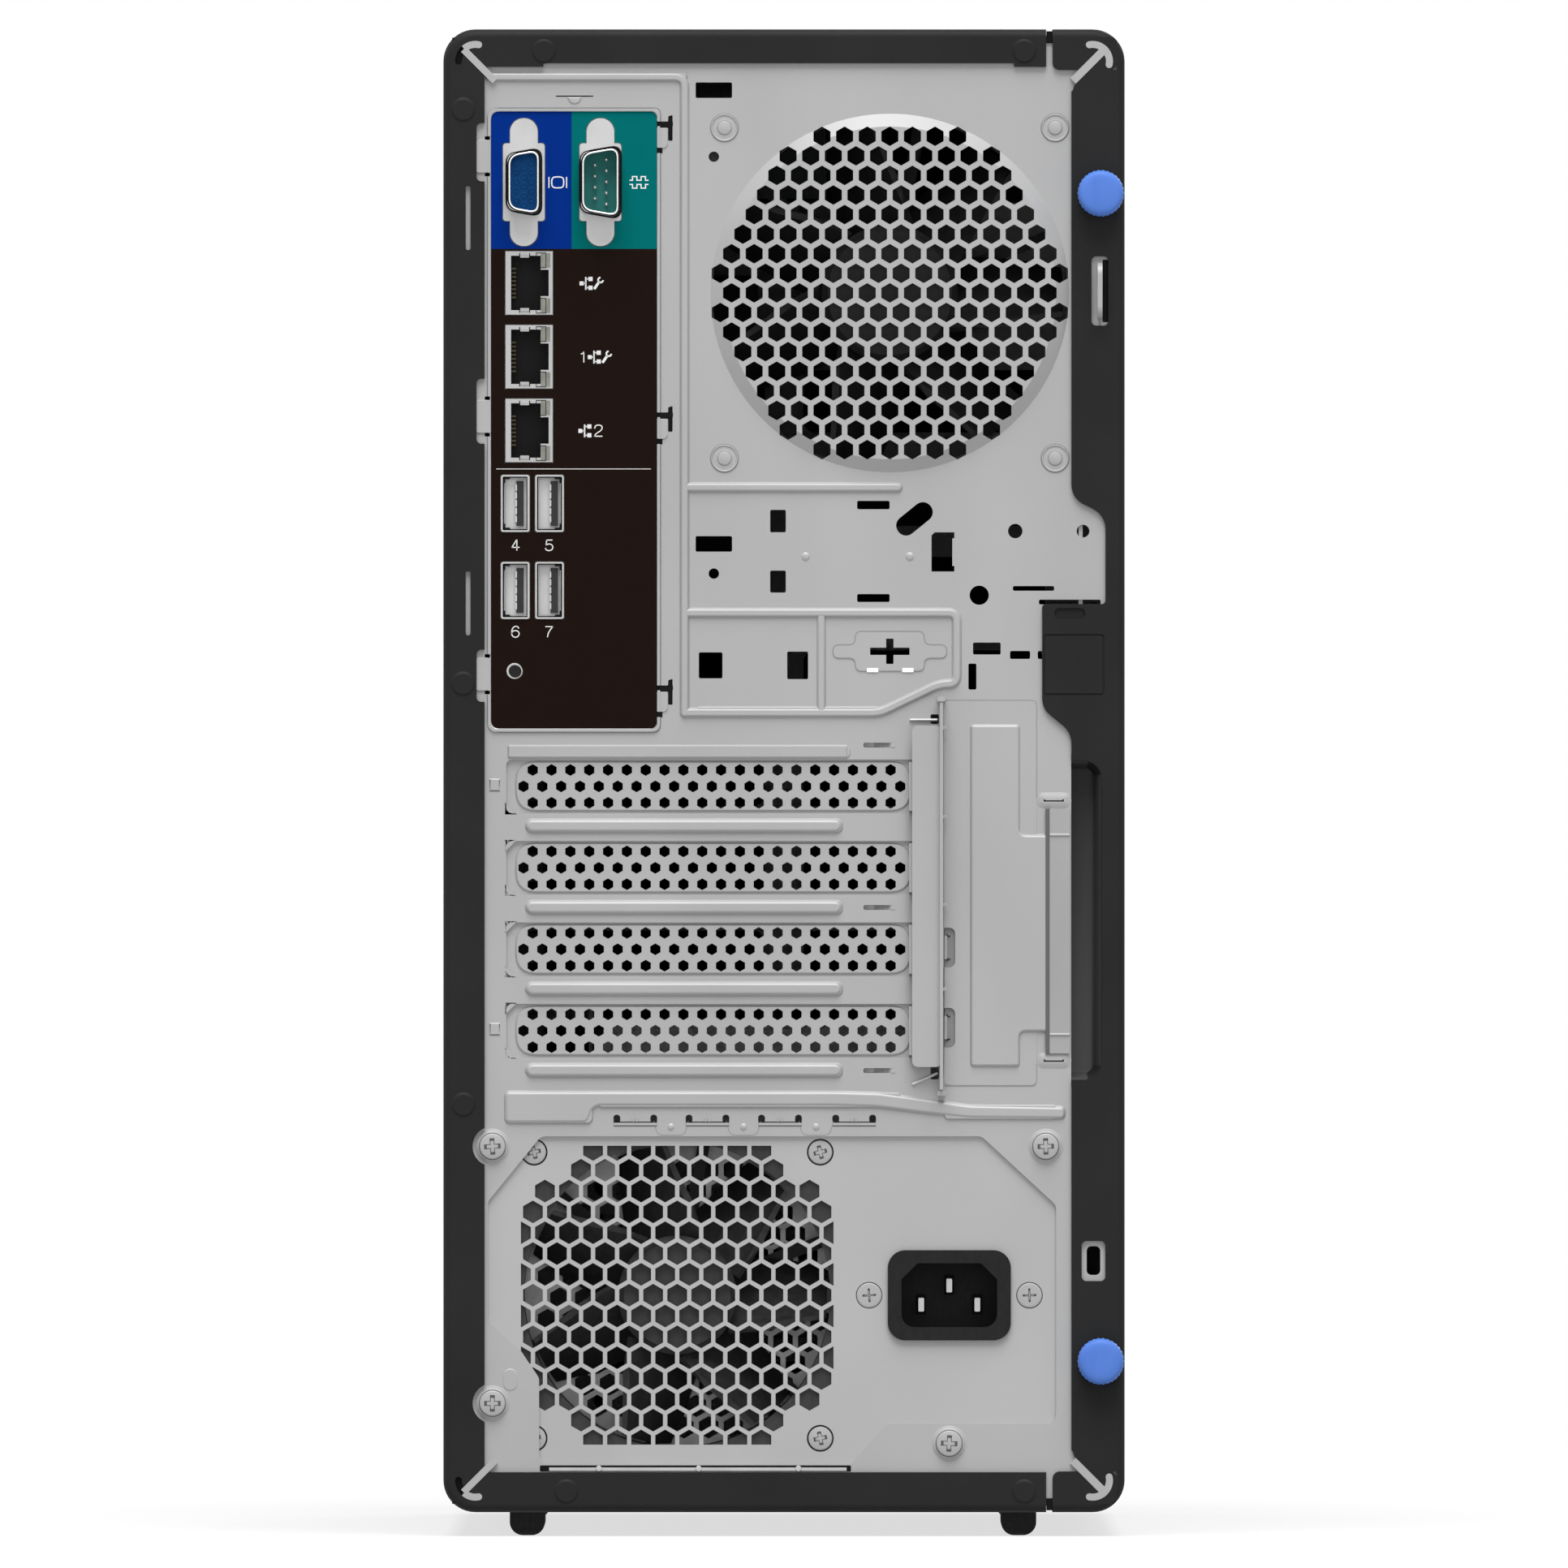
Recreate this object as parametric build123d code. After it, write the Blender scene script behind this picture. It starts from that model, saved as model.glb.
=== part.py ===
from build123d import *
import math
import os

# Tower server, 170 mm wide, 376 mm tall on its feet and 315 mm deep.
# X runs right as seen from behind, Y runs from the rear to the front bezel, Z is up.
# The origin is on the floor, under the middle of the whole object.
# Depths count inwards from the outer face of the painted rear flanges.

# Case
BODY_W = 170.0
BODY_H = 370.0
CHASSIS_D = 291.0
BEZEL_D = 17.0
KNOB_PROUD = 7.0
FOOT_H = 6.0
SHEET = 1.0
PANEL = 1.0
FRAME_T = 1.0
CORNER_R = 8.0
OUTER_BEND = 2.0
LAP = 0.2
EDGE_GAP = 0.6

# Flanges folded in round the rear opening
LEFT_FLANGE = 10.3
TOP_FLANGE = 8.5
UNDER_FLANGE = 10.0
FLANGE_PAD = 0.9
RELIEF_R = 4.2
RELIEF_W = 1.7
RELIEF_REACH = 5.0
WELD_R = 3.1
WELD_H = 0.35

# Sliding side cover
COVER_LIP = 18.0
SEAM = 1.6
COVER_FLANGE = 13.3
COVER_NECK = 4.8
COVER_TAB = 20.6
GRIP_W = 7.8
GRIP_L = 80.2
GRIP_DROP = 182.2
GRIP_DEEP = 9.0
GRIP_SLOPE = 12.0
KNOB_IN = 6.0
KNOB_R = 5.87
KNOB_DROP = 41.0
KNOB_RISE = 37.7
S_BEND = 5.5
SCREW_R = 1.75
CLEARANCE = 0.25
RUN_FIT = 0.05
LOOP_DROP = 65.3
LOOP_OUT = 6.2

# Rear fan
FAN_SIZE = 92.0
FAN_T = 25.0
FAN_PITCH = 82.5
FAN_IN = 58.6
FAN_DROP = 65.8
HUB_SHARE = 0.185
FAN_TIP_GAP = 0.8
FAN_WEB = 3.0
SHAFT_R = 1.5
DISH_R = 44.75
DISH_FACE_R = 41.5
DISH_H = 2.0
VENT_PITCH = 5.64
VENT_FLAT = 4.26
VENT_REACH = 43.0
RIVET_R = 3.44

# Connector area
IO_IN = 32.6
IO_DROP = 97.5
IO_W = 43.05
IO_H = 155.6
IO_RIM = 0.7
IO_RIM_H = 0.6
LABEL_T = 0.15
PORT_GAP = 0.1
DSUB_DROP = 38.15
VGA_IN = 20.1
SERIAL_IN = 39.2
DSUB_FLANGE = (10.4, 19.4)
DSUB_EAR = (6.9, 31.9)
DSUB_OUT = 5.4
LAN_IN = 21.4
LAN_DROP = 63.3
LAN_STEP = 18.4
LAN_W = 11.75
LAN_H = 15.8
LAN_DEEP = 21.0
LAN_PIN_PITCH = 1.02
USB_IN = 17.95
USB_STEP_X = 8.55
USB_DROP = 118.3
USB_STEP_Z = 21.7
USB_W = 7.1
USB_H = 14.2
USB_DEEP = 16.0
BUTTON_DROP = 160.2
BUTTON_R = 1.55
BUTTON_TRAVEL = 0.8
BUTTON_L = 3.0

# Expansion slots and their retainer
SLOT_COUNT = 4
SLOT_PITCH = 20.32
SLOT_DROP = 188.9
SLOT_IN = 15.7
SLOT_L = 102.6
SLOT_APERTURE = 13.4
SLOT_PLATE = 18.4
SLOT_T = 0.8
SLOT_POCKET = 11.6
TAB_H = 12.0
TAB_OUT = 3.0
RETAINER_IN = 116.6
RETAINER_W = 7.3
RETAINER_H = 85.2
FIN_H = 96.4
FIN_OUT = 6.4
FIN_T = 0.7
HINGE_R = 0.55
HINGE_OUT = 1.5
EAR = 2.0

# Power supply
PSU_W = 150.0
PSU_H = 86.0
PSU_D = 125.0
PSU_IN = 82.0
PSU_RISE = 52.9
PSU_T = 0.9
PSU_FAN = 80.0
PSU_FAN_T = 25.0
PSU_FAN_IN = 58.35
PSU_FAN_RISE = 54.14
PSU_FAN_PITCH = 71.4
PSU_VENT_PITCH = 6.0
PSU_VENT_FLAT = 4.94
PSU_VENT_W = 78.0
PSU_VENT_H = 74.6
PSU_VENT_CORNER = 60.0
INLET_IN = 126.25
INLET_W = 30.7
INLET_H = 22.5
INLET_DEEP = 24.0
INLET_CAVITY = (23.85, 16.0, 15.0)
INLET_SCREWS = 40.0
HEAD_R = 3.1
HEAD_H = 1.8

# Board, cooler, drives
STANDOFF = 9.8
BOARD = 244.0
BOARD_T = 1.6
BOARD_DROP = 18.0
BOARD_GAP = 1.6
COOLER = 80.0
COOLER_H = 38.0
SOCKET_T = 7.0
COOLER_FAN_T = 20.0
FINS = 16
COOLER_DEPTH = 150.0
COOLER_DROP = 100.0
DIMM_COUNT = 4
DIMM_PITCH = 9.4
DIMM_L = 133.35
DIMM_H = 30.0
DRIVES = 4
DRIVE_W = 101.6
DRIVE_H = 26.1
DRIVE_L = 147.0
DRIVE_PITCH = 29.5
CAGE_IN = 88.0

# Front
BEZEL_WALL = 2.5
BEZEL_R = 5.0
POWER_R = 6.0
POWER_TRAVEL = 1.5
LOUVRES = 22
LOUVRE_PITCH = 9.5
LOUVRE_H = 4.5
FOOT_W = 8.8
FOOT_L = 32.0

# Planes and edges that follow from the sizes above
LEFT = -BODY_W / 2
RIGHT = BODY_W / 2
UNDER = FOOT_H
TOP = FOOT_H + BODY_H
REAR_Y = KNOB_PROUD - (KNOB_PROUD + CHASSIS_D + BEZEL_D) / 2
FACE = SHEET + LAP
BACK = FACE + PANEL
FRONT = CHASSIS_D + BEZEL_D
BOARD_X = LEFT + SHEET + FRAME_T + STANDOFF + BOARD_T
SLOTS = [SLOT_DROP + n * SLOT_PITCH for n in range(SLOT_COUNT)]
LAN_DROPS = [LAN_DROP + n * LAN_STEP for n in range(3)]
KNOB_SPOTS = ((RIGHT - KNOB_IN, TOP - KNOB_DROP), (RIGHT - KNOB_IN, UNDER + KNOB_RISE))
FAN_CENTRE = (RIGHT - FAN_IN, TOP - FAN_DROP)
PSU_FAN_CENTRE = (LEFT + PSU_FAN_IN, UNDER + PSU_FAN_RISE)
INLET_CENTRE = (LEFT + INLET_IN, UNDER + PSU_FAN_RISE)
HINGE_A = RETAINER_IN + RETAINER_W + FIN_T / 2
SLOT_MID = SLOT_DROP + (SLOT_COUNT - 1) * SLOT_PITCH / 2 - 3.1

parts = {}


def node(name, *pieces):
    """Keep one named piece, or a group of like pieces as separate solids."""
    solids = [solid for piece in pieces for solid in piece.solids()]
    parts[name] = solids[0] if len(solids) == 1 else Compound(solids)


def upper(a, b):
    """The point a in from the case's left side and b below its top."""
    return (LEFT + a, TOP - b)


def lower(a, h):
    """The point a in from the case's left side and h above its underside."""
    return (LEFT + a, UNDER + h)


def rect(centre, w, h, r=0.0, turn=0.0):
    """An upright rectangle in the rear view, with rounded corners if r is given."""
    shape = RectangleRounded(w, h, r) if r else Rectangle(w, h)
    return Pos(*centre) * Rot(0, 0, turn) * shape


def span(x0, x1, z0, z1, r=0.0):
    """A rectangle in the rear view between two X and two Z limits."""
    return rect(((x0 + x1) / 2, (z0 + z1) / 2), x1 - x0, z1 - z0, r)


def disc(centre, r):
    return Pos(*centre) * Circle(r)


def outline(*points):
    """A closed straight-sided outline in the rear view."""
    return make_face(Polyline(*points, close=True))


def slab(shape, near, far, taper=0.0):
    """The shape of the rear view as a solid between two depths; a taper narrows it outwards."""
    plane = Plane((0, REAR_Y + far, 0), x_dir=(1, 0, 0), z_dir=(0, -1, 0))
    return extrude(plane * shape, far - near, taper=taper)


def brick(x0, x1, near, far, z0, z1):
    return slab(span(x0, x1, z0, z1), near, far)


def spun(centre, profile):
    """A solid of revolution about an axis along Y; the profile gives (radius, depth) points."""
    plane = Plane((centre[0], REAR_Y, centre[1]), x_dir=(1, 0, 0), z_dir=(0, 0, 1))
    face = plane * make_face(Polyline(*profile, close=True))
    return revolve(face, Axis((centre[0], 0, centre[1]), (0, 1, 0)))


def screw(centre, seat, head_r, head_h, shank_r, shank_l):
    """A dome-headed screw: its head stands out from the seat, its shank runs inwards."""
    profile = [(0, seat - head_h), (head_r * 0.7, seat - head_h), (head_r, seat - head_h * 0.45),
               (head_r, seat), (shank_r, seat), (shank_r, seat + shank_l), (0, seat + shank_l)]
    return spun(centre, profile)


def hexes(centre, pitch, flat, inside):
    """Pointed-top hexagons in staggered rows, wherever inside says that one fits."""
    spots = []
    rise = pitch * math.sqrt(3) / 2
    reach = int(60 / pitch)
    for row in range(-reach, reach + 1):
        for col in range(-reach, reach + 1):
            x = (col + (row % 2) / 2) * pitch
            z = row * rise
            if inside(x, z):
                spots.append((centre[0] + x, centre[1] + z))
    cell = RegularPolygon(flat / 2, 6, major_radius=False, rotation=30)
    return Sketch() + [Pos(*spot) * cell for spot in spots]


def case_form(inset):
    """The case's rounded outer form, drawn in by inset and open towards the bezel."""
    over = 1.0 if inset else 0.0
    shape = rect((0, UNDER + BODY_H / 2), BODY_W - 2 * inset, BODY_H - 2 * inset, CORNER_R - inset)
    form = slab(shape, inset, CHASSIS_D + over)
    rear = form.faces().sort_by(Axis.Y)[0]
    return fillet(rear.edges(), OUTER_BEND - inset)


def corner_relief(sx, sz):
    """The anchor-shaped slit that lets two flanges fold in at a rounded corner."""
    ring = Circle(RELIEF_R + RELIEF_W / 2) - Circle(RELIEF_R - RELIEF_W / 2)
    quarter = ring & Pos(RELIEF_R, RELIEF_R) * Rectangle(2 * RELIEF_R, 2 * RELIEF_R)
    ends = [Pos(RELIEF_R, 0) * Circle(RELIEF_W / 2), Pos(0, RELIEF_R) * Circle(RELIEF_W / 2)]
    length = RELIEF_R + RELIEF_REACH
    shaft = Rot(0, 0, 45) * Pos(RELIEF_R - length / 2, 0) * Rectangle(length, RELIEF_W)
    turn = {(1, 1): 0, (-1, 1): 90, (-1, -1): 180, (1, -1): 270}[(sx, sz)]
    centre = (sx * (BODY_W / 2 - CORNER_R), UNDER + BODY_H / 2 + sz * (BODY_H / 2 - CORNER_R))
    return Pos(*centre) * Rot(0, 0, turn) * (quarter + ends + shaft)


def weld_domes(spots):
    return [slab(disc(spot, WELD_R), -WELD_H, 0, taper=60) for spot in spots]


def outer_shell():
    """Painted wrap: left side, top and underside, folded in behind."""
    seam_x = RIGHT - COVER_LIP - SEAM
    skin = case_form(0) - case_form(SHEET)
    skin -= brick(seam_x, RIGHT + 1, -1, CHASSIS_D + 1, UNDER - 1, TOP + 1)
    window = span(LEFT + LEFT_FLANGE, RIGHT, UNDER + UNDER_FLANGE, TOP - TOP_FLANGE, 2.0)
    pad_z = TOP - TOP_FLANGE
    window -= span(LEFT + LEFT_FLANGE, LEFT + 25, pad_z - FLANGE_PAD, pad_z + 3)
    window -= span(seam_x - 8, seam_x + 1, pad_z - FLANGE_PAD, pad_z + 3)
    for drop, height in ((30.7, 14.5), (95.3, 16.2), (161.3, 13.0)):
        window += rect(upper(LEFT_FLANGE, drop), 4.0, height, 1.2)
    for drop in (47.1, 143.2):
        window += rect(upper(6.2, drop), 1.2, 16.0, 0.5)
    for rise in (91.3, 27.2):
        window += disc(lower(12.3, rise), 5.0)
    window += corner_relief(-1, 1) + corner_relief(-1, -1)
    shell = skin - slab(window, -1, OUTER_BEND + 1)
    spots = [upper(25.1, 5.5), upper(144.9, 5.5), upper(5.0, 20.1), upper(4.9, 163.3),
             upper(5.0, 268.3), lower(30.7, 5.2), lower(144.9, 5.2)]
    return shell + weld_domes(spots)


def cover_flange():
    """The cover's rear flange: a band that necks in, then reaches out in a wide tab."""
    band, neck, tab = RIGHT - COVER_FLANGE, RIGHT - COVER_NECK, RIGHT - COVER_TAB
    edge = RIGHT - OUTER_BEND
    points = [(edge, TOP - 15.4), (band, TOP - 15.4), (band, TOP - 117.0), (neck, TOP - 121.3),
              (neck, TOP - 143.4), (tab, TOP - 143.4), (tab, TOP - 169.5), (band, TOP - 175.5),
              (band, UNDER + 15.4), (edge, UNDER + 15.4)]
    shape = outline(*points)
    inner = [v for v in shape.vertices() if v.X < edge - 1 and TOP - 180 < v.Y < TOP - 110]
    shape = fillet([v for v in inner if abs(v.Y - TOP + 143.4) > 1], S_BEND)
    shape = fillet([v for v in shape.vertices() if abs(v.Y - TOP + 143.4) < 0.1], 0.9)
    lip = RIGHT - COVER_LIP
    ends = [span(lip, edge, TOP - 10.2, TOP - OUTER_BEND, 1.8),
            span(lip, edge, UNDER + OUTER_BEND, UNDER + 10.2, 1.8),
            span(lip, lip + 6, TOP - 6, TOP - OUTER_BEND), span(lip, lip + 6, UNDER + OUTER_BEND, UNDER + 6)]
    corners = [outline((edge - 9, TOP - 10.2), (edge, TOP - 10.2), (edge, TOP - 16), (band, TOP - 16)),
               outline((edge - 9, UNDER + 10.2), (edge, UNDER + 10.2), (edge, UNDER + 16),
                       (band, UNDER + 16))]
    return shape + ends + corners


def grip_centre():
    return (RIGHT - COVER_FLANGE + GRIP_W / 2, TOP - GRIP_DROP - GRIP_L / 2)


def grip_hollow():
    """The hollow for the fingertips: it is open to the left and widens outwards."""
    x, z = grip_centre()
    spread = (GRIP_DEEP + 1) * math.tan(math.radians(GRIP_SLOPE))
    floor = rect((x - 2 - spread / 2, z), GRIP_W + 4 - spread, GRIP_L - 2 * spread, 2.8)
    return slab(floor, -1, GRIP_DEEP, taper=-GRIP_SLOPE)


def loop_centre():
    return (RIGHT - KNOB_IN - 0.2, TOP - LOOP_DROP)


def side_cover():
    """Removable right side: it slides rearwards off its hooks once the thumbscrews are loose."""
    skin = case_form(0) - case_form(SHEET)
    wrap = skin & brick(RIGHT - COVER_LIP, RIGHT + 1, -1, CHASSIS_D - 0.3, UNDER - 1, TOP + 1)
    inner = span(RIGHT - COVER_LIP - 1, RIGHT - OUTER_BEND, UNDER + OUTER_BEND, TOP - OUTER_BEND)
    cover = wrap - slab(inner, -1, OUTER_BEND + 1) + slab(cover_flange(), 0, SHEET)
    cup = rect(grip_centre(), GRIP_W + 2 * SHEET, GRIP_L + 2 * SHEET, 1.5)
    cup &= span(RIGHT - COVER_FLANGE, RIGHT, UNDER, TOP)
    cover += slab(cup, 0, GRIP_DEEP + SHEET)
    cover -= grip_hollow()
    holes = rect(loop_centre(), 4.2, 17.3, 1.2) + rect((RIGHT - 7.8, UNDER + 62.7), 5.9, 10.0, 1.2)
    holes += corner_relief(1, 1) + corner_relief(1, -1)
    for spot in KNOB_SPOTS:
        holes += disc(spot, SCREW_R + CLEARANCE)
    cover -= slab(holes, -1, OUTER_BEND + 1)
    tab = (RIGHT - 12.7, TOP - 158.5)
    cover -= slab(rect(tab, 15.2, 15.2, 0.8) - rect(tab, 14.4, 14.4, 0.5), -1, 0.3)
    cover -= slab(rect((RIGHT - 13.7, TOP - 145.7), 7.7, 2.6, 1.2), -1, 0.7)
    return cover


def thumbscrew(spot):
    """A captive thumbscrew: a rounded knob, its collar and its shank."""
    profile = [(0, -KNOB_PROUD), (KNOB_R - 1.6, -KNOB_PROUD), (KNOB_R - 0.5, 0.7 - KNOB_PROUD),
               (KNOB_R, 1.9 - KNOB_PROUD), (KNOB_R, -1.0), (KNOB_R - 1, -0.2), (SCREW_R, -0.2),
               (SCREW_R, BACK + 4.0), (0, BACK + 5.0)]
    return spun(spot, profile)


def padlock_loop():
    """Steel eye that stands out through the cover for a padlock."""
    x, z = loop_centre()
    plate = brick(x - 0.6, x + 0.6, -LOOP_OUT, FACE, z - 7.0, z + 7.0)
    rear = plate.faces().sort_by(Axis.Y)[0]
    plate = fillet(rear.edges().filter_by(Axis.X), 3.0)
    hole = Pos(x, REAR_Y - LOOP_OUT / 2 + 0.5, z) * Rot(0, 90, 0) * Cylinder(2.1, 4)
    return plate - hole


def bead(shape):
    """A pressed bead: it stands out from the bare panel with sloped sides."""
    return slab(shape, FACE - 0.6, FACE, taper=35)


def fan_dish():
    profile = [(DISH_R, FACE), (DISH_FACE_R, FACE - DISH_H), (0, FACE - DISH_H),
               (0, FACE - DISH_H + PANEL), (DISH_FACE_R - 0.6, FACE - DISH_H + PANEL), (DISH_R, BACK)]
    return spun(FAN_CENTRE, profile)


def psu_opening():
    """The cut-out that shows the supply's own face, with metal left round its four screws."""
    shape = outline(*(lower(a, h) for a, h in (
        (23.9, 12.0), (101.8, 12.0), (110.7, 22.1), (152.9, 22.1), (152.9, 76.6), (134.3, 93.8),
        (24.4, 93.8), (11.1, 77.5), (11.1, 47.5), (19.4, 40.2), (23.9, 33.5))))
    return fillet(shape.vertices(), 2.5)


def retainer_holes():
    windows = [upper(HINGE_A + 1.6, drop) for drop in (229.1, 249.1)]
    return Sketch() + [rect(spot, 3.7, 9.9, 1.6) for spot in windows]


def panel_holes():
    """Small holes pressed through the rear panel, mostly for cables and clips."""
    holes = [rect(upper(*spot), w, h, 0.4) for *spot, w, h in (
        (67.5, 15.2, 9.1, 3.9), (67.5, 128.4, 9.1, 3.9), (83.5, 122.7, 3.9, 5.6), (83.5, 137.8, 3.9, 5.5),
        (107.3, 118.7, 8.1, 2.1), (107.3, 141.9, 8.1, 2.0), (147.25, 139.5, 10.3, 1.2),
        (143.9, 156.1, 5.0, 2.0), (149.0, 156.1, 1.4, 2.0), (156.3, 142.9, 15.4, 1.2),
        (132.0, 161.5, 2.0, 6.5), (66.7, 158.7, 5.9, 6.5), (88.4, 158.7, 5.2, 6.9),
        (122.6, 172.1, 2.1, 2.4), (122.6, 260.4, 2.1, 3.2),
        (111.4, 155.2, 9.9, 1.9), (111.4, 155.2, 1.9, 6.4), (135.6, 154.5, 6.9, 3.0),
        (108.8, 178.6, 7.9, 1.2), (108.8, 219.1, 7.9, 1.2), (108.8, 259.8, 7.9, 1.2))]
    holes += [disc(upper(a, b), r) for a, b, r in (
        (67.5, 31.8, 1.3), (67.5, 135.8, 1.3), (142.7, 125.2, 1.8), (159.6, 125.2, 1.6),
        (133.7, 141.2, 2.4))]
    holes.append(rect(upper(117.55, 122.15), 10.3, 4.96, 2.45, 39))
    holes.append(outline(*(upper(a, b) for a, b in (
        (122.6, 125.5), (127.5, 125.5), (127.5, 127.0), (127.0, 127.0), (127.0, 133.9), (127.5, 133.9),
        (127.5, 135.3), (121.8, 135.3), (121.8, 126.3)))))
    holes.append(rect(upper(32.75, 16.7), 9.3, 0.3))
    for a in (47.9, 65.9, 84.0, 102.5):
        holes += [rect(lower(a + end * 4.6, 98.1), 1.7, 2.2, 0.8) for end in (-1, 1)]
        holes.append(rect(lower(a, 96.8), 10.7, 0.4))
    return holes + clip_hooks()


def clip_hooks():
    """Hook-shaped cuts beside the connector plate, and the notches of its tabs on the left."""
    cuts = []
    for drop in (21.8, 94.4, 162.5):
        cuts += [rect(upper(55.3, drop + 1.8), 4.0, 1.2), rect(upper(56.7, drop + 2.9), 1.0, 5.8),
                 rect(upper(53.9, drop + 8.4), 1.5, 1.4)]
    for mid in (31.7, 96.6, 160.9):
        cuts += [rect(upper(11.0, mid + end * 4.55), 1.3, 0.9) for end in (-1, 1)]
    return cuts


def panel_beads():
    """Pressed stiffening beads of the rear panel."""
    beads = [rect(upper(36.0, 11.9), 50.0, 2.4, 1.1), rect(upper(60.1, 91.5), 2.0, 158.6, 0.9),
             rect(upper(87.6, 114.3), 53.0, 2.7, 1.3), rect(upper(58.5, 180.2), 85.0, 3.4, 0.5),
             rect(upper(94.3, 145.6), 66.0, 2.0, 0.9), rect(upper(94.3, 157.7), 2.0, 21.0, 0.9),
             rect(upper(86.0, 169.9), 46.0, 2.0, 0.9), rect(upper(128.1, 154.5), 2.0, 17.0, 0.9),
             rect(lower(26.3, 101.0), 22.3, 8.3, 1.5), rect(lower(76.4, 102.8), 76.0, 4.0, 1.2),
             rect(lower(139.0, 99.8), 28.5, 3.9, 1.2)]
    beads += [rect(upper(60.3, drop + SLOT_PITCH / 2 - 0.3), 78.9, 3.8, 1.6) for drop in SLOTS]
    return beads


def hinge_ears():
    """Two lugs of the panel that hold the retainer's hinge rod."""
    x, z = upper(HINGE_A, SLOT_MID)
    ears = []
    for end in (-1, 1):
        mid = z + end * (FIN_H / 2 + 1.0)
        ear = brick(x - EAR / 2, x + EAR / 2, FACE - HINGE_OUT - EAR / 2, FACE, mid - 0.6, mid + 0.6)
        rod = Pos(x, REAR_Y + FACE - HINGE_OUT, mid) * Cylinder(HINGE_R + RUN_FIT, 4)
        ears.append(ear - rod)
    return ears


def rear_panel():
    """Bare steel rear wall with its cut-outs, beads, fan dish and hinge lugs."""
    inset = SHEET + EDGE_GAP
    shape = rect((0, UNDER + BODY_H / 2), BODY_W - 2 * inset, BODY_H - 2 * inset, CORNER_R - inset)
    cuts = [rect(upper(IO_IN, IO_DROP), IO_W, IO_H, 2.0), disc(FAN_CENTRE, DISH_R), psu_opening(),
            rect(grip_centre(), GRIP_W + 3 * SHEET, GRIP_L + 3 * SHEET, 1.5)
            & span(RIGHT - COVER_FLANGE - RUN_FIT, RIGHT, UNDER, TOP),
            rect((RIGHT - 7.8, UNDER + 62.8), 3.4, 7.2, 1.2)]
    cuts += [rect(upper(SLOT_IN + SLOT_L / 2, drop), SLOT_L, SLOT_APERTURE, 1.5) for drop in SLOTS]
    cuts += [disc(spot, SCREW_R + RUN_FIT) for spot in KNOB_SPOTS]
    cuts += [disc(spot, RIVET_R * 0.6) for spot in rivet_spots()]
    cuts += [disc(spot, SCREW_R) for spot in psu_screw_spots()]
    panel = slab(shape - cuts - panel_holes(), FACE, BACK) + fan_dish()
    panel += [bead(shape) for shape in panel_beads()] + hinge_ears()
    panel -= slab(retainer_holes(), FACE - 1, FACE + 0.7)
    vent = hexes(FAN_CENTRE, VENT_PITCH, VENT_FLAT, lambda x, z: math.hypot(x, z) <= VENT_REACH)
    panel -= slab(vent, FACE - DISH_H - 1, BACK + 1)
    return_x = RIGHT - 10.5
    for z0, z1 in ((TOP - 175, TOP - 12), (UNDER + 12, UNDER + 100)):
        panel += brick(return_x - PANEL, return_x, BACK - 0.1, BACK + 10, z0, z1)
    return panel


def rivet_spots():
    half = FAN_PITCH / 2
    return [(FAN_CENTRE[0] + sx * half, FAN_CENTRE[1] + sz * half) for sx in (-1, 1) for sz in (-1, 1)]


def fan_rivets():
    profile = [(0, FACE - 0.9), (RIVET_R / 2, FACE - 0.9), (RIVET_R / 2, FACE - 0.45),
               (RIVET_R - 0.3, FACE - 0.45), (RIVET_R, FACE - 0.15), (RIVET_R, FACE),
               (RIVET_R * 0.6, FACE), (RIVET_R * 0.6, BACK + 8), (0, BACK + 8)]
    return [spun(spot, profile) for spot in rivet_spots()]


def fan_frame(centre, size, depth, thick, pitch, hole_r):
    """A square fan housing: round duct, four screw corners, and a hub on three struts."""
    duct_r = size / 2 - 1.8
    shape = rect(centre, size, size, 3.0) - disc(centre, duct_r)
    half = pitch / 2
    shape -= [disc((centre[0] + sx * half, centre[1] + sz * half), hole_r)
              for sx in (-1, 1) for sz in (-1, 1)]
    frame = slab(shape, depth, depth + thick)
    rim = disc(centre, duct_r + 0.5)
    struts = [rect(centre, 2 * duct_r, 3.0, 0, turn) & rim for turn in (20, 80, 140)]
    web = disc(centre, size * HUB_SHARE) + struts - disc(centre, SHAFT_R + RUN_FIT)
    return frame + slab(web, depth + thick - FAN_WEB, depth + thick)


def rotor(centre, size, depth, thick, blades):
    """Hub, shaft and twisted blades, clear of the duct all round."""
    hub_r = size * HUB_SHARE
    tip_r = size / 2 - 1.8 - FAN_TIP_GAP
    end = depth + thick - FAN_WEB - 0.6
    hub = spun(centre, [(0, depth + 0.8), (hub_r - 1.5, depth + 0.8), (hub_r, depth + 2.0), (hub_r, end),
                        (SHAFT_R, end), (SHAFT_R, end + FAN_WEB), (0, end + FAN_WEB)])
    ring = slab(disc(centre, tip_r) - disc(centre, hub_r - 1), depth + 1.5, end)
    chord = (end - depth) * 1.4
    blade_set = []
    for n in range(blades):
        turn = Pos(centre[0], REAR_Y + (depth + end) / 2, centre[1]) * Rot(0, 360 / blades * n, 0)
        stations = ((hub_r - 2, 50, 1.6, 0.8), (tip_r + 2, 28, 1.0, 1.0))
        sections = [turn * (Plane((r, 0, 0), x_dir=(0, 1, 0), z_dir=(1, 0, 0))
                            * Rot(0, 0, pitch) * Rectangle(chord * share, web))
                    for r, pitch, web, share in stations]
        blade_set.append(loft(sections) & ring)
    return hub + blade_set


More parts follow.
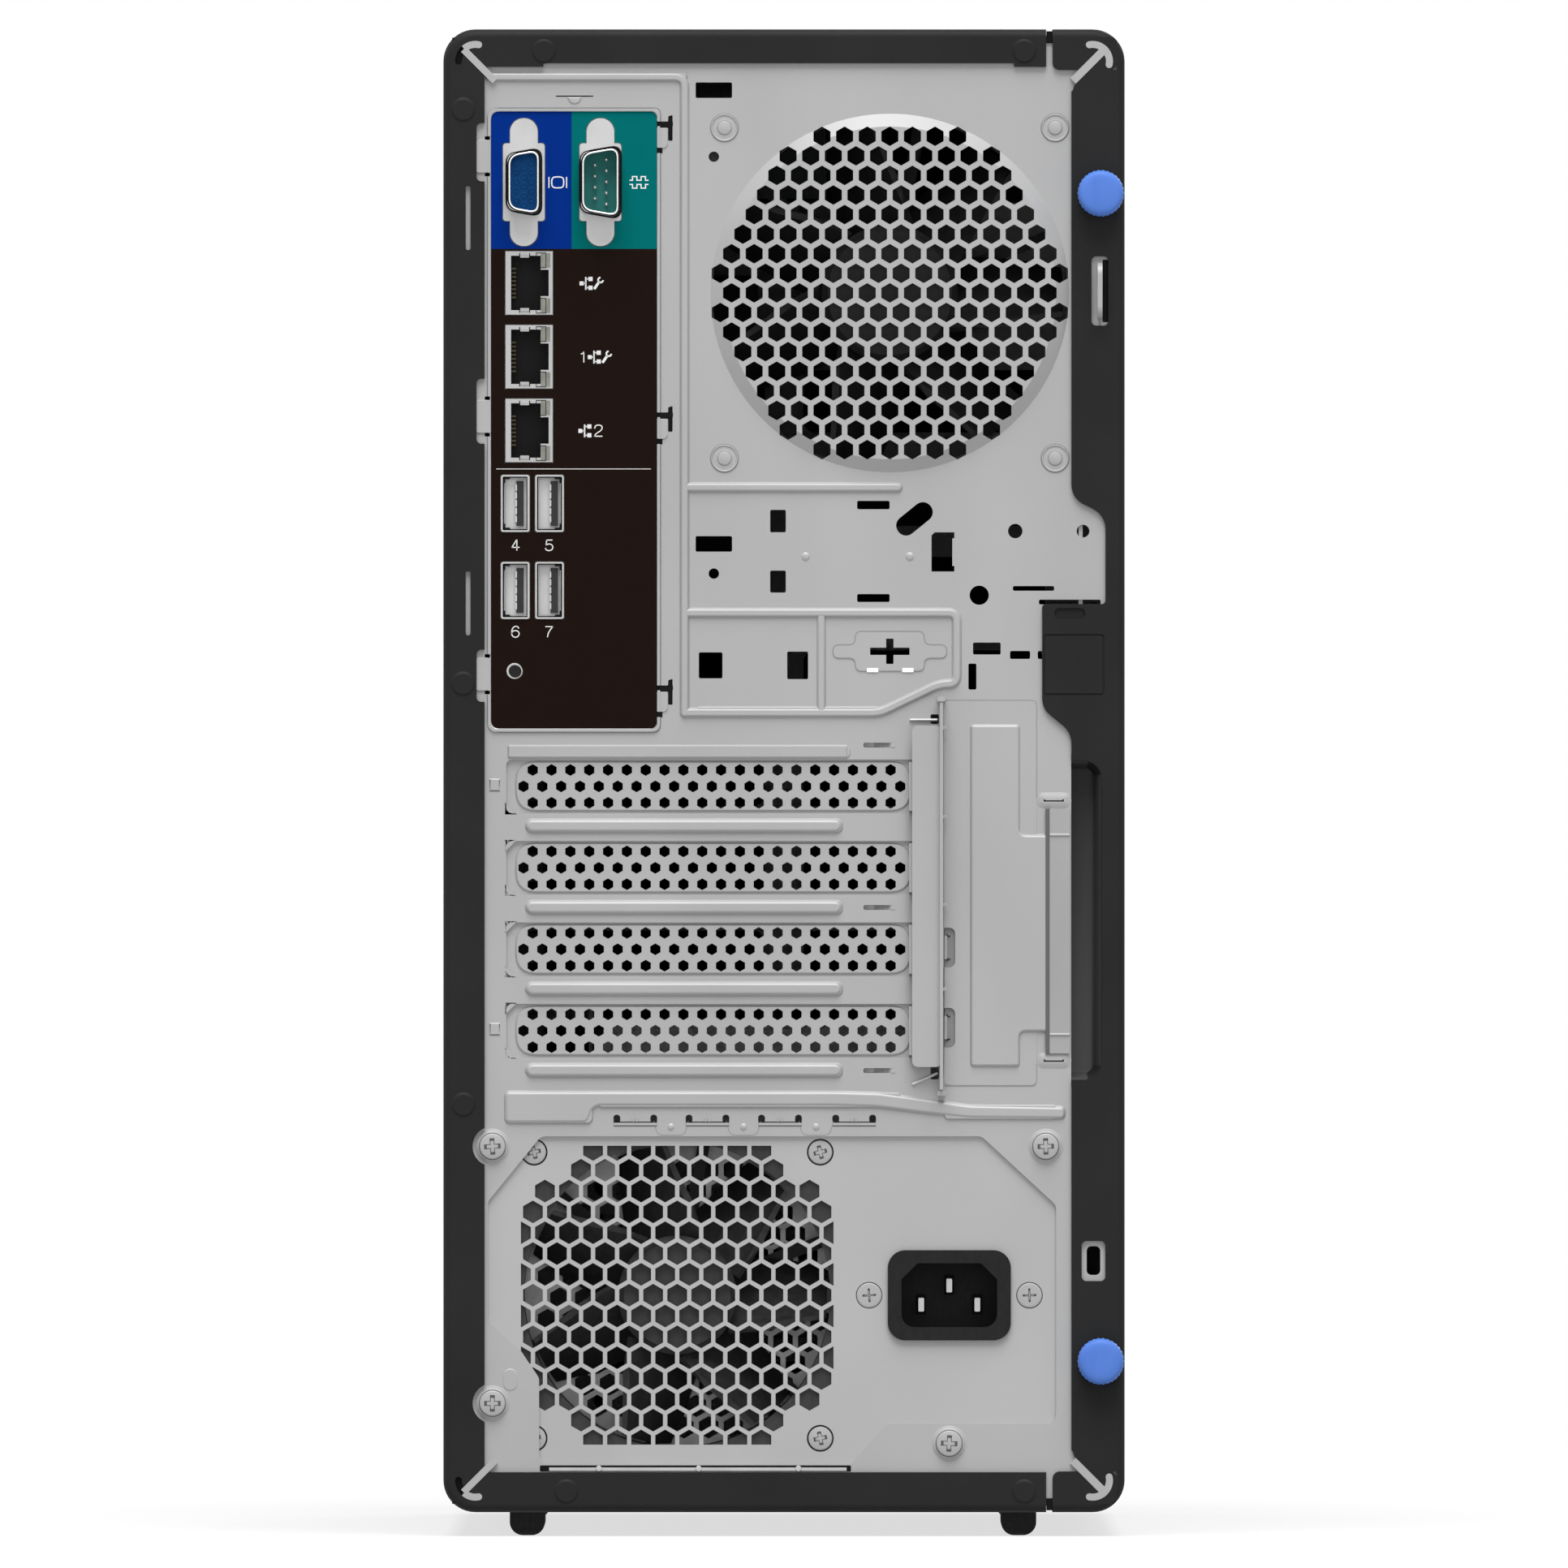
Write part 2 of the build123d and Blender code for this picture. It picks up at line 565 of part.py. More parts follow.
def io_ports(gap):
    """Openings of the connector area, each larger than its connector by the gap."""
    dsub = [rect(upper(a, DSUB_DROP), w + 2 * gap, h + 2 * gap, r)
            for a in (VGA_IN, SERIAL_IN) for (w, h), r in ((DSUB_FLANGE, 0.8), (DSUB_EAR, 3.4))]
    lan = [rect(upper(LAN_IN, drop), LAN_W + 2 * gap, LAN_H + 2 * gap) for drop in LAN_DROPS]
    usb = [rect(spot, USB_W + 2 * gap, USB_H + 2 * gap, 0.6) for spot in usb_spots()]
    return dsub + lan + usb


def usb_spots():
    return [upper(USB_IN + col * USB_STEP_X, USB_DROP + row * USB_STEP_Z) for row in (0, 1) for col in (0, 1)]


def io_shield():
    """Steel plate clipped into the rear wall, with a raised rim round the coloured field."""
    centre = upper(IO_IN, IO_DROP)
    field = rect(centre, IO_W - 2 * IO_RIM, IO_H - 2 * IO_RIM, 1.6)
    rim = rect(centre, IO_W - 0.1, IO_H - 0.1, 2.0) - field
    ports = io_ports(PORT_GAP) + [disc(upper(USB_IN, BUTTON_DROP), BUTTON_R + RUN_FIT)]
    shield = slab(rim, FACE - IO_RIM_H, BACK) + slab(field - ports, FACE, BACK)
    return shield - [slab(hook, -1, BACK + 1) for hook in clip_hooks()]


def io_label():
    """Thin coloured foil on the connector plate."""
    centre = upper(IO_IN, IO_DROP)
    field = rect(centre, IO_W - 2 * IO_RIM - 0.3, IO_H - 2 * IO_RIM - 0.3, 1.6)
    ports = io_ports(PORT_GAP + 0.05) + [disc(upper(USB_IN, BUTTON_DROP), 1.9)]
    return slab(field - ports, FACE - LABEL_T, FACE)


def d_outline(centre, w, h, r):
    """The D shape of a sub-miniature connector stood on end, wide side to the right."""
    cut = w * math.tan(math.radians(10))
    x, z = centre
    shape = outline((x - w / 2, z - h / 2 + cut), (x + w / 2, z - h / 2), (x + w / 2, z + h / 2),
                    (x - w / 2, z + h / 2 - cut))
    return fillet(shape.vertices(), r)


def dsub_shell(a, w, h):
    centre = upper(a, DSUB_DROP)
    plate = rect(centre, *DSUB_FLANGE, 0.8) + rect(centre, *DSUB_EAR, 3.4)
    bore = d_outline(centre, w - 0.8, h - 0.8, 1.6)
    groove = d_outline(centre, w + 1.0, h + 1.0, 2.2) - d_outline(centre, w, h, 2.0)
    plate = slab(plate - bore, FACE - 0.4, FACE + 0.4) - slab(groove, FACE - 1, FACE + 0.2)
    return plate + slab(d_outline(centre, w, h, 2.0) - bore, -DSUB_OUT, FACE)


def dsub_insert(a, w, h, face, x0, x1, holes):
    """Moulded core of a D connector, with the housing behind it that sits on the board."""
    centre = upper(a, DSUB_DROP)
    core = slab(d_outline(centre, w - 0.9, h - 0.9, 1.6), face, BACK + 1)
    body = brick(x0, x1, BACK + 0.1, BACK + 14, centre[1] - 15, centre[1] + 15)
    return core + body - [slab(disc(spot, 0.5), face - 1, face + 3) for spot in holes]


def vga_holes():
    x, z = upper(VGA_IN, DSUB_DROP)
    return [(x + 1.9 * (col - 1), z + 2.3 * (row - 2) + 0.6 * (col == 1))
            for col in range(3) for row in range(5)]


def serial_pins():
    x, z = upper(SERIAL_IN, DSUB_DROP)
    right = [(x + 1.4, z + 2.77 * (n - 2)) for n in range(5)]
    return right + [(x - 1.4, z + 2.77 * (n - 1.5)) for n in range(4)]


def lan_jack(drop):
    """Shielded network jack lying on its side, with a stepped socket."""
    x, z = upper(LAN_IN, drop)
    body = brick(x - LAN_W / 2, x + LAN_W / 2, FACE - 0.3, LAN_DEEP, z - LAN_H / 2, z + LAN_H / 2)
    body += brick(BOARD_X, x, BACK + 0.1, LAN_DEEP, z - LAN_H / 2, z + LAN_H / 2)
    socket = span(x - 4.5, x + 2.9, z - 6.8, z + 6.8) + span(x + 2.8, x + 4.9, z - 3.3, z + 3.3)
    lamps = [rect((x + 4.1, z + side * 5.65), 2.3, 3.6) for side in (-1, 1)]
    return body - slab(socket, -1, FACE + 11) - [slab(lamp, -1, FACE + 1.2) for lamp in lamps]


def lan_contacts():
    contacts = []
    for x, z in (upper(LAN_IN - 4.0, drop) for drop in LAN_DROPS):
        for mid in (z + LAN_PIN_PITCH * (n - 3.5) for n in range(8)):
            contacts.append(brick(x - 0.5, x + 0.7, FACE + 2, FACE + 9, mid - 0.25, mid + 0.25))
    return contacts


def lan_lamps():
    return [slab(rect(upper(LAN_IN + 4.1, drop + side * 5.65), 2.3, 3.6), FACE - 0.4, FACE + 1.2)
            for drop in LAN_DROPS for side in (-1, 1)]


def usb_shell(spot):
    outer = rect(spot, USB_W, USB_H, 0.6)
    inner = rect(spot, USB_W - 0.8, USB_H - 0.8, 0.3)
    return slab(outer, FACE - 0.5, FACE + USB_DEEP) - slab(inner, -1, FACE + USB_DEEP - 1)


def usb_tongue(spot):
    x, z = spot
    return brick(x + 0.3, x + 2.1, FACE + 0.6, FACE + USB_DEEP - 1, z - 5.6, z + 5.6)


def usb_housing():
    """Block that carries the four ports on the board."""
    spots = usb_spots()
    x1 = spots[1][0] + USB_W / 2 + 0.8
    block = brick(BOARD_X, x1, BACK + 0.1, FACE + USB_DEEP, spots[3][1] - 9, spots[0][1] + 9)
    return block - [slab(rect(spot, USB_W, USB_H, 0.6), -1, FACE + USB_DEEP + 1) for spot in spots]


def id_switch():
    x, z = upper(USB_IN, BUTTON_DROP)
    body = brick(BOARD_X, x + 3, BACK + 0.1, BACK + 9, z - 4, z + 4)
    return body - slab(disc((x, z), BUTTON_R + RUN_FIT), -1, BACK + BUTTON_L + BUTTON_TRAVEL + RUN_FIT)


def slot_cover(drop):
    """Blank plate of one expansion slot: a pressed pocket and a tab folded out under the retainer."""
    x0, z = upper(SLOT_IN, drop)
    x1 = LEFT + RETAINER_IN + 0.5
    plate = slab(span(x0 - 3, x1, z - SLOT_PLATE / 2, z + SLOT_PLATE / 2, 2.0), BACK, BACK + SLOT_T)
    pocket = span(x0 + 2.9, x1 - 1.5, z - SLOT_POCKET / 2, z + SLOT_POCKET / 2, SLOT_POCKET / 2 - 0.1)
    plate += slab(pocket, BACK - 0.5, BACK)
    tab = brick(x1 - SLOT_T, x1, FACE - TAB_OUT, BACK + SLOT_T, z - TAB_H / 2, z + TAB_H / 2)
    return plate + tab


def card_retainer():
    """Hinged angle that holds the slot plates' tabs; its fin is the handle."""
    x, z = upper(HINGE_A, SLOT_MID)
    plate_far = FACE - TAB_OUT - 0.3
    reach = RETAINER_H / 2
    plate = slab(span(x - RETAINER_W, x, z - reach, z + reach, 1.5), plate_far - 1, plate_far)
    half = FIN_H / 2
    fin = brick(x - FIN_T / 2, x + FIN_T / 2, FACE - FIN_OUT, FACE - HINGE_OUT, z - half, z + half)
    rod = Pos(x, REAR_Y + FACE - HINGE_OUT, z) * Cylinder(HINGE_R, FIN_H + 4)
    return plate + fin + rod


def psu_screw_spots():
    return [lower(12.26, 91.3), lower(12.26, 27.2), lower(150.3, 91.3), lower(126.2, 17.2)]


def psu_vent():
    """Hexagons cut off square by the edge of the vent, with its corners left out."""
    half_w, half_h = PSU_VENT_W / 2, PSU_VENT_H / 2
    field = rect(PSU_FAN_CENTRE, PSU_VENT_W, PSU_VENT_H)

    def inside(dx, dz):
        corner = abs(dx) + abs(dz) <= PSU_VENT_CORNER
        return abs(dx) <= half_w and abs(dz) <= half_h + 0.1 and corner
    return hexes(PSU_FAN_CENTRE, PSU_VENT_PITCH, PSU_VENT_FLAT, inside) & field


def psu_box(inset):
    x, z = lower(PSU_IN, PSU_RISE)
    half_w, half_h = PSU_W / 2 - inset, PSU_H / 2 - inset
    return brick(x - half_w, x + half_w, BACK + inset, BACK + PSU_D - inset, z - half_h, z + half_h)


def psu_case():
    """Power supply housing with its vented rear face."""
    case = psu_box(0) - psu_box(PSU_T)
    holes = [rect(INLET_CENTRE, INLET_W, INLET_H, 4.4)] + [disc(spot, SCREW_R) for spot in psu_screw_spots()]
    holes += [disc(spot, HEAD_R + CLEARANCE) for spot in psu_fan_screw_spots()]
    holes += [disc(spot, SCREW_R) for spot in inlet_screw_spots()]
    case -= [slab(hole, BACK - 1, BACK + PSU_T + 1) for hole in holes]
    case -= slab(psu_vent(), BACK - 1, BACK + PSU_T + 1)
    rows = [rect((LEFT + PSU_IN, UNDER + PSU_RISE + 9 * n), 90, 4, 1.9) for n in range(-3, 4)]
    return case - [slab(row, BACK + PSU_D - 2, BACK + PSU_D + 1) for row in rows]


def psu_fan_screw_spots():
    half = PSU_FAN_PITCH / 2
    x, z = PSU_FAN_CENTRE
    return [(x + sx * half, z + sz * half) for sx in (-1, 1) for sz in (-1, 1)]


def psu_screws():
    """Ten like screws: four hold the supply, four its fan and two the mains inlet."""
    sunk = BACK + PSU_T
    return ([screw(spot, FACE, HEAD_R, HEAD_H, SCREW_R, 5) for spot in psu_screw_spots()]
            + [screw(spot, sunk, HEAD_R, PSU_T - 0.1, SCREW_R, 8) for spot in psu_fan_screw_spots()]
            + [screw(spot, BACK, HEAD_R, HEAD_H / 2, SCREW_R, 4) for spot in inlet_screw_spots()])


def inlet_screw_spots():
    x, z = INLET_CENTRE
    return [(x - INLET_SCREWS / 2, z), (x + INLET_SCREWS / 2, z)]


def ac_inlet():
    """Mains inlet: a rim outside the supply's face, a flange inside it and a deep cavity."""
    x, z = INLET_CENTRE
    w, h, deep = INLET_CAVITY
    body = slab(rect((x, z), INLET_W, INLET_H, 4.4), FACE - 0.3, BACK + INLET_DEEP)
    flange_near = BACK + PSU_T
    bores = [disc(spot, SCREW_R) for spot in inlet_screw_spots()]
    flange = rect((x, z), INLET_SCREWS + 9, INLET_H, 4.0) - bores
    cavity = outline((x - w / 2, z - h / 2), (x + w / 2, z - h / 2), (x + w / 2, z + h / 2 - 4),
                     (x + w / 2 - 4, z + h / 2), (x - w / 2 + 4, z + h / 2), (x - w / 2, z + h / 2 - 4))
    return body + slab(flange, flange_near, flange_near + 2) - slab(cavity, -1, FACE + deep)


def ac_pins():
    x, z = INLET_CENTRE
    spots = [(x, z + 2.4), (x - 7.0, z - 2.4), (x + 7.0, z - 2.4)]
    back = FACE + INLET_CAVITY[2]
    return [slab(rect(spot, 1.4, 3.4, 0.3), back - 12, back) for spot in spots]


def inner_frame():
    """Bare steel skeleton inside the wrap: board tray, roof and floor with stiffening lips."""
    edge = RIGHT - COVER_LIP - 5
    ring = rect((0, UNDER + BODY_H / 2), BODY_W - 2 * SHEET, BODY_H - 2 * SHEET, CORNER_R - SHEET)
    grow = SHEET + FRAME_T
    ring -= rect((0, UNDER + BODY_H / 2), BODY_W - 2 * grow, BODY_H - 2 * grow, CORNER_R - grow)
    ring -= span(edge, RIGHT, UNDER, TOP)
    lips = [span(edge - FRAME_T, edge, TOP - grow - 10, TOP - grow + 0.5),
            span(edge - FRAME_T, edge, UNDER + grow - 0.5, UNDER + grow + 6)]
    frame = slab(ring + lips, BACK, CHASSIS_D - PANEL)
    y, z = REAR_Y + COOLER_DEPTH, TOP - COOLER_DROP
    return frame - Pos(LEFT + SHEET, y, z) * Box(4 * FRAME_T, COOLER + 10, COOLER + 10)


def board_span():
    return TOP - BOARD_DROP - BOARD, TOP - BOARD_DROP


def motherboard():
    z0, z1 = board_span()
    near = BACK + BOARD_GAP
    return brick(BOARD_X - BOARD_T, BOARD_X, near, near + BOARD, z0, z1)


def board_standoffs():
    z0, z1 = board_span()
    base = LEFT + SHEET + FRAME_T
    spots = [(y, z) for y in (18, 140, 236) for z in (z0 + 10, (z0 + z1) / 2 - 30, z1 - 10)]
    post = Rot(0, 90, 0) * Cylinder(3.0, STANDOFF)
    return [Pos(base + STANDOFF / 2, REAR_Y + y, z) * post for y, z in spots]


def cpu_socket():
    y, z = REAR_Y + COOLER_DEPTH, TOP - COOLER_DROP
    return Pos(BOARD_X + SOCKET_T / 2, y, z) * Box(SOCKET_T, 42, 42)


def cpu_heatsink():
    """Extruded cooler: a base and upright fins that run front to back."""
    base_x = BOARD_X + SOCKET_T
    z = TOP - COOLER_DROP
    pitch = (COOLER - 1.6) / (FINS - 1)
    comb = span(base_x, base_x + 6, z - COOLER / 2, z + COOLER / 2)
    for n in range(FINS):
        mid = z - COOLER / 2 + 0.8 + n * pitch
        comb += span(base_x + 5, base_x + COOLER_H, mid - 0.8, mid + 0.8)
    return slab(comb, COOLER_DEPTH - COOLER / 2, COOLER_DEPTH + COOLER / 2)


def turned_to_side(solid):
    """A fan built on an axis along Y, laid on the cooler with its axis along X."""
    x = BOARD_X + SOCKET_T + COOLER_H + COOLER_FAN_T
    return Pos(x, REAR_Y + COOLER_DEPTH, TOP - COOLER_DROP) * Rot(0, 0, 90) * Pos(0, -REAR_Y, 0) * solid


def card_slots():
    return [brick(BOARD_X, BOARD_X + 11.2, 52, 141, TOP - drop - 3.7, TOP - drop + 3.7) for drop in SLOTS]


def dimm_depths():
    return [COOLER_DEPTH + COOLER / 2 + 12 + n * DIMM_PITCH for n in range(DIMM_COUNT)]


def memory_slots():
    z = TOP - COOLER_DROP
    sockets = []
    for depth in dimm_depths():
        body = brick(BOARD_X, BOARD_X + 6.5, depth - 3.2, depth + 3.2, z - 70, z + 70)
        body += brick(BOARD_X, BOARD_X + 18, depth - 2.6, depth + 2.6, z - 74, z - 68)
        body += brick(BOARD_X, BOARD_X + 18, depth - 2.6, depth + 2.6, z + 68, z + 74)
        half = DIMM_L / 2 + 0.2
        slot = brick(BOARD_X + 3, BOARD_X + 20, depth - 0.7, depth + 0.7, z - half, z + half)
        sockets.append(body - slot)
    return sockets


def memory_modules():
    z = TOP - COOLER_DROP
    modules = []
    for depth in dimm_depths():
        half = DIMM_L / 2
        card = brick(BOARD_X + 3, BOARD_X + 3 + DIMM_H, depth - 0.6, depth + 0.6, z - half, z + half)
        chips = [brick(BOARD_X + 13, BOARD_X + 23, depth - 1.4, depth + 1.4, z + 14 * n - 5, z + 14 * n + 5)
                 for n in (-4, -3, -2, -1, 0, 1, 2, 3, 4)]
        modules.append(card + chips)
    return modules


def cage_limits():
    x0 = LEFT + CAGE_IN - DRIVE_W / 2
    far = CHASSIS_D - PANEL
    return x0, x0 + DRIVE_W, far - DRIVE_L - 2, far


def drive_cage():
    """Open-fronted cage with a wall each side, tied by a roof and a floor."""
    x0, x1, near, far = cage_limits()
    floor = UNDER + SHEET + FRAME_T
    roof = floor + 6 + DRIVES * DRIVE_PITCH
    gap = 0.6
    shape = span(x0 - gap - FRAME_T, x1 + gap + FRAME_T, floor, roof)
    shape -= span(x0 - gap, x1 + gap, floor + FRAME_T, roof - FRAME_T)
    cage = slab(shape, near, far)
    for n in range(DRIVES):
        z = floor + 4 + n * DRIVE_PITCH + DRIVE_H / 2
        for y in (near + 40, near + 95):
            cage -= Pos((x0 + x1) / 2, REAR_Y + y, z) * Rot(0, 90, 0) * Cylinder(1.6, 200)
        cage -= brick(x0 - 5, x1 + 5, near + 55, near + 80, z - 8, z + 8)
    return cage


def drive_spot(n):
    return UNDER + SHEET + FRAME_T + 4 + n * DRIVE_PITCH


def hard_drive(n):
    """One 3.5 inch drive: its casting with a stepped lid."""
    x0, x1, near, far = cage_limits()
    z = drive_spot(n)
    case = brick(x0, x1, near + 1, near + 1 + DRIVE_L, z, z + DRIVE_H - 1)
    case = chamfer(case.edges().filter_by(Axis.Z), 2.0)
    lid = brick(x0 + 4, x1 - 4, near + 6, near + DRIVE_L - 6, z + DRIVE_H - 1, z + DRIVE_H)
    return case + lid


def drive_screws():
    x0, x1, near, far = cage_limits()
    bolts = []
    for n in range(DRIVES):
        z = drive_spot(n) + DRIVE_H / 2
        for y in (near + 40, near + 95):
            for side, wall in ((-1, x0), (1, x1)):
                mid = Pos(wall + side * 0.8, REAR_Y + y, z) * Rot(0, 90, 0) * Cylinder(1.5, 1.6)
                hexagon = extrude(RegularPolygon(2.8, 6), 0.6, both=True)
                bolts.append(mid + Pos(wall + side * 2.2, REAR_Y + y, z) * Rot(0, 90, 0) * hexagon)
    return bolts


def power_spot():
    return (LEFT + 28, TOP - 28)


def front_usb_spots():
    return [(LEFT + 58 + n * 22, TOP - 28) for n in range(2)]


def front_panel():
    """Steel front wall behind the bezel, cut out for air and for the controls."""
    inset = SHEET + FRAME_T
    shape = rect((0, UNDER + BODY_H / 2), BODY_W - 2 * inset, BODY_H - 2 * inset, CORNER_R - inset)
    vents = [rect((x, UNDER + 40 + 24 * n), 62, 16, 3) for x in (-36, 36) for n in range(11)]
    vents.append(rect((0, TOP - 28), 130, 22, 3))
    return slab(shape - vents, CHASSIS_D - PANEL, CHASSIS_D)


def front_bezel():
    """Moulded front: a hollow shell with rounded edges, louvres and a slim control strip."""
    shape = rect((0, UNDER + BODY_H / 2), BODY_W, BODY_H, CORNER_R)
    bezel = slab(shape, CHASSIS_D, FRONT)
    face = bezel.faces().sort_by(Axis.Y)[-1]
    bezel = fillet(face.edges(), BEZEL_R)
    wall = BEZEL_WALL
    hollow = rect((0, UNDER + BODY_H / 2), BODY_W - 2 * wall, BODY_H - 2 * wall, CORNER_R - wall)
    bezel -= slab(hollow, CHASSIS_D - 1, FRONT - 2 * wall)
    louvres = [rect((0, UNDER + 36 + n * LOUVRE_PITCH), BODY_W - 36, LOUVRE_H, LOUVRE_H / 2 - 0.1)
               for n in range(LOUVRES)]
    bezel -= [slab(louvre, CHASSIS_D, FRONT + 1) for louvre in louvres]
    strip = rect((0, TOP - 28), BODY_W - 24, 26, 4)
    bezel -= slab(strip, FRONT - 1.2, FRONT + 1)
    bay = rect((10, TOP - 72), 132, 16, 1)
    holes = disc(power_spot(), POWER_R + RUN_FIT) + bay
    holes += [rect(spot, 14.4, 6.6, 0.5) for spot in front_usb_spots()]
    return bezel - slab(holes, CHASSIS_D, FRONT + 1)


def bay_blank():
    """Blank that closes the slim drive slot in the bezel."""
    plate = slab(rect((10, TOP - 72), 131.6, 15.6, 1), FRONT - 8, FRONT - 0.4)
    clips = [brick(x - 5, x + 5, CHASSIS_D, FRONT - 7, TOP - 74, TOP - 72) for x in (-40, 60)]
    return plate + clips


def power_button():
    centre = power_spot()
    profile = [(0, FRONT - 0.7), (POWER_R - 0.8, FRONT - 0.7), (POWER_R, FRONT - 1.5), (POWER_R, FRONT - 8),
               (1.5, FRONT - 8), (1.5, CHASSIS_D + 4.7 + POWER_TRAVEL), (0, CHASSIS_D + 4.7 + POWER_TRAVEL)]
    return spun(centre, profile)


def front_board():
    """Small board behind the bezel that carries the switch and the front ports."""
    board = brick(LEFT + 16, LEFT + 96, CHASSIS_D, CHASSIS_D + 1.6, TOP - 38, TOP - 18)
    x, z = power_spot()
    return board + brick(x - 3, x + 3, CHASSIS_D + 1.6, CHASSIS_D + 4.6, z - 3, z + 3)


def front_usb(spot):
    x, z = spot
    shell = slab(rect(spot, 14.2, 6.4, 0.5), CHASSIS_D + 1.6, FRONT - 1.3)
    shell -= slab(rect(spot, 13.4, 5.6, 0.3), CHASSIS_D + 3, FRONT + 1)
    return shell + brick(x - 5.6, x + 5.6, CHASSIS_D + 2, FRONT - 3, z + 0.3, z + 2.1)


def feet():
    pads = []
    for x in (LEFT + 20.9, RIGHT - 26.4):
        for depth in (28, CHASSIS_D - 28):
            pad = brick(x - FOOT_W / 2, x + FOOT_W / 2, depth - FOOT_L / 2, depth + FOOT_L / 2, 0, FOOT_H)
            pads.append(fillet(pad.faces().sort_by(Axis.Z)[0].edges(), 3.4))
    return pads


def build():
    node("outer_shell", outer_shell())
    node("side_cover", side_cover())
    node("thumbscrew_upper", thumbscrew(KNOB_SPOTS[0]))
    node("thumbscrew_lower", thumbscrew(KNOB_SPOTS[1]))
    node("rear_panel", rear_panel())
    node("inner_frame", inner_frame())
    node("padlock_loop", padlock_loop())
    node("fan_rivets", *fan_rivets())
    node("rear_fan_frame", fan_frame(FAN_CENTRE, FAN_SIZE, BACK, FAN_T, FAN_PITCH, RIVET_R * 0.6))
    node("rear_fan_rotor", rotor(FAN_CENTRE, FAN_SIZE, BACK, FAN_T, 7))
    node("io_shield", io_shield())
    node("io_label", io_label())
    node("vga_shell", dsub_shell(VGA_IN, 8.1, 16.5))
    node("vga_insert", dsub_insert(VGA_IN, 8.1, 16.5, 1 - DSUB_OUT, BOARD_X, LEFT + 29.4, vga_holes()))
    node("serial_shell", dsub_shell(SERIAL_IN, 9.6, 17.8))
    node("serial_insert", dsub_insert(SERIAL_IN, 9.6, 17.8, FACE - 1, LEFT + 29.5, LEFT + 45, []))
    node("serial_pins", *[slab(disc(spot, 0.5), 1.5 - DSUB_OUT, FACE - 1) for spot in serial_pins()])
    for n, drop in enumerate(LAN_DROPS):
        node(f"lan_jack_{n + 1}", lan_jack(drop))
    node("lan_contacts", *lan_contacts())
    node("lan_lamps", *lan_lamps())
    node("usb_shells", *[usb_shell(spot) for spot in usb_spots()])
    node("usb_tongues", *[usb_tongue(spot) for spot in usb_spots()])
    node("usb_housing", usb_housing())
    node("id_switch", id_switch())
    node("id_button", slab(disc(upper(USB_IN, BUTTON_DROP), BUTTON_R), FACE - 0.4, BACK + BUTTON_L))
    for n, drop in enumerate(SLOTS):
        node(f"slot_cover_{n + 1}", slot_cover(drop))
    node("card_retainer", card_retainer())
    node("psu_case", psu_case())
    frame = fan_frame(PSU_FAN_CENTRE, PSU_FAN, BACK + PSU_T, PSU_FAN_T, PSU_FAN_PITCH, SCREW_R + RUN_FIT)
    node("psu_fan_frame", frame)
    node("psu_fan_rotor", rotor(PSU_FAN_CENTRE, PSU_FAN, BACK + PSU_T, PSU_FAN_T, 7))
    node("psu_screws", *psu_screws())
    node("ac_inlet", ac_inlet())
    node("ac_pins", *ac_pins())
    node("motherboard", motherboard())
    node("board_standoffs", *board_standoffs())
    node("cpu_socket", cpu_socket())
    node("cpu_heatsink", cpu_heatsink())
    frame = fan_frame((0, 0), COOLER, 0, COOLER_FAN_T, PSU_FAN_PITCH, 2.1)
    node("cpu_fan_frame", turned_to_side(frame))
    node("cpu_fan_rotor", turned_to_side(rotor((0, 0), COOLER, 0, COOLER_FAN_T, 7)))
    node("card_slots", *card_slots())
    node("memory_slots", *memory_slots())
    node("memory_modules", *memory_modules())
    node("drive_cage", drive_cage())
    for n in range(DRIVES):
        node(f"hard_drive_{n + 1}", hard_drive(n))
    node("drive_screws", *drive_screws())
    node("front_panel", front_panel())
    node("front_bezel", front_bezel())
    node("bay_blank", bay_blank())
    node("power_button", power_button())
    node("front_board", front_board())
    node("front_usb_ports", *[front_usb(spot) for spot in front_usb_spots()])
    node("feet", *feet())


build()
os.makedirs("parts", exist_ok=True)
for name, shape in parts.items():
    export_step(shape, f"parts/{name}.step")
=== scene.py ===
"""Tower server seen from behind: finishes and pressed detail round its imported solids."""
import math

import bmesh
import bpy
from bpy.props import FloatProperty, FloatVectorProperty, IntProperty, PointerProperty, StringProperty
from mathutils import Matrix, Vector
from mathutils.geometry import tessellate_polygon


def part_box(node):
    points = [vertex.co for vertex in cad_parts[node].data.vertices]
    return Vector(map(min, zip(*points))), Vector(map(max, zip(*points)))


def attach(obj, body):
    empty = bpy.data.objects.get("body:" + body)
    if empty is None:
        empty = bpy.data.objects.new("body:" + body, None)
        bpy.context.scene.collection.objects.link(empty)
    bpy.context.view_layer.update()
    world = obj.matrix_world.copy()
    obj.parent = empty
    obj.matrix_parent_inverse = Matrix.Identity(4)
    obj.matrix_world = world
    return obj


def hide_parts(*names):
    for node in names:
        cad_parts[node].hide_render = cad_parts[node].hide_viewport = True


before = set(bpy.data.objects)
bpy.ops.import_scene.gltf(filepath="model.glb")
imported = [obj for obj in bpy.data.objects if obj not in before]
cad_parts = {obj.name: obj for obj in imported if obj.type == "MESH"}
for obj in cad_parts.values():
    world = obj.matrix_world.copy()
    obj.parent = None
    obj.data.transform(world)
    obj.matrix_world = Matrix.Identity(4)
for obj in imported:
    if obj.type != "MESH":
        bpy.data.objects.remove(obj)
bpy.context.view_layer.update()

bl_info = {
    "name": "Tower Server Rear",
    "version": (1, 0, 0),
    "blender": (4, 5, 0),
    "location": "View3D > Sidebar > Server",
    "description": "Dresses the tower server's solids with finishes, perforated plates, beads and labels",
    "category": "Object",
}

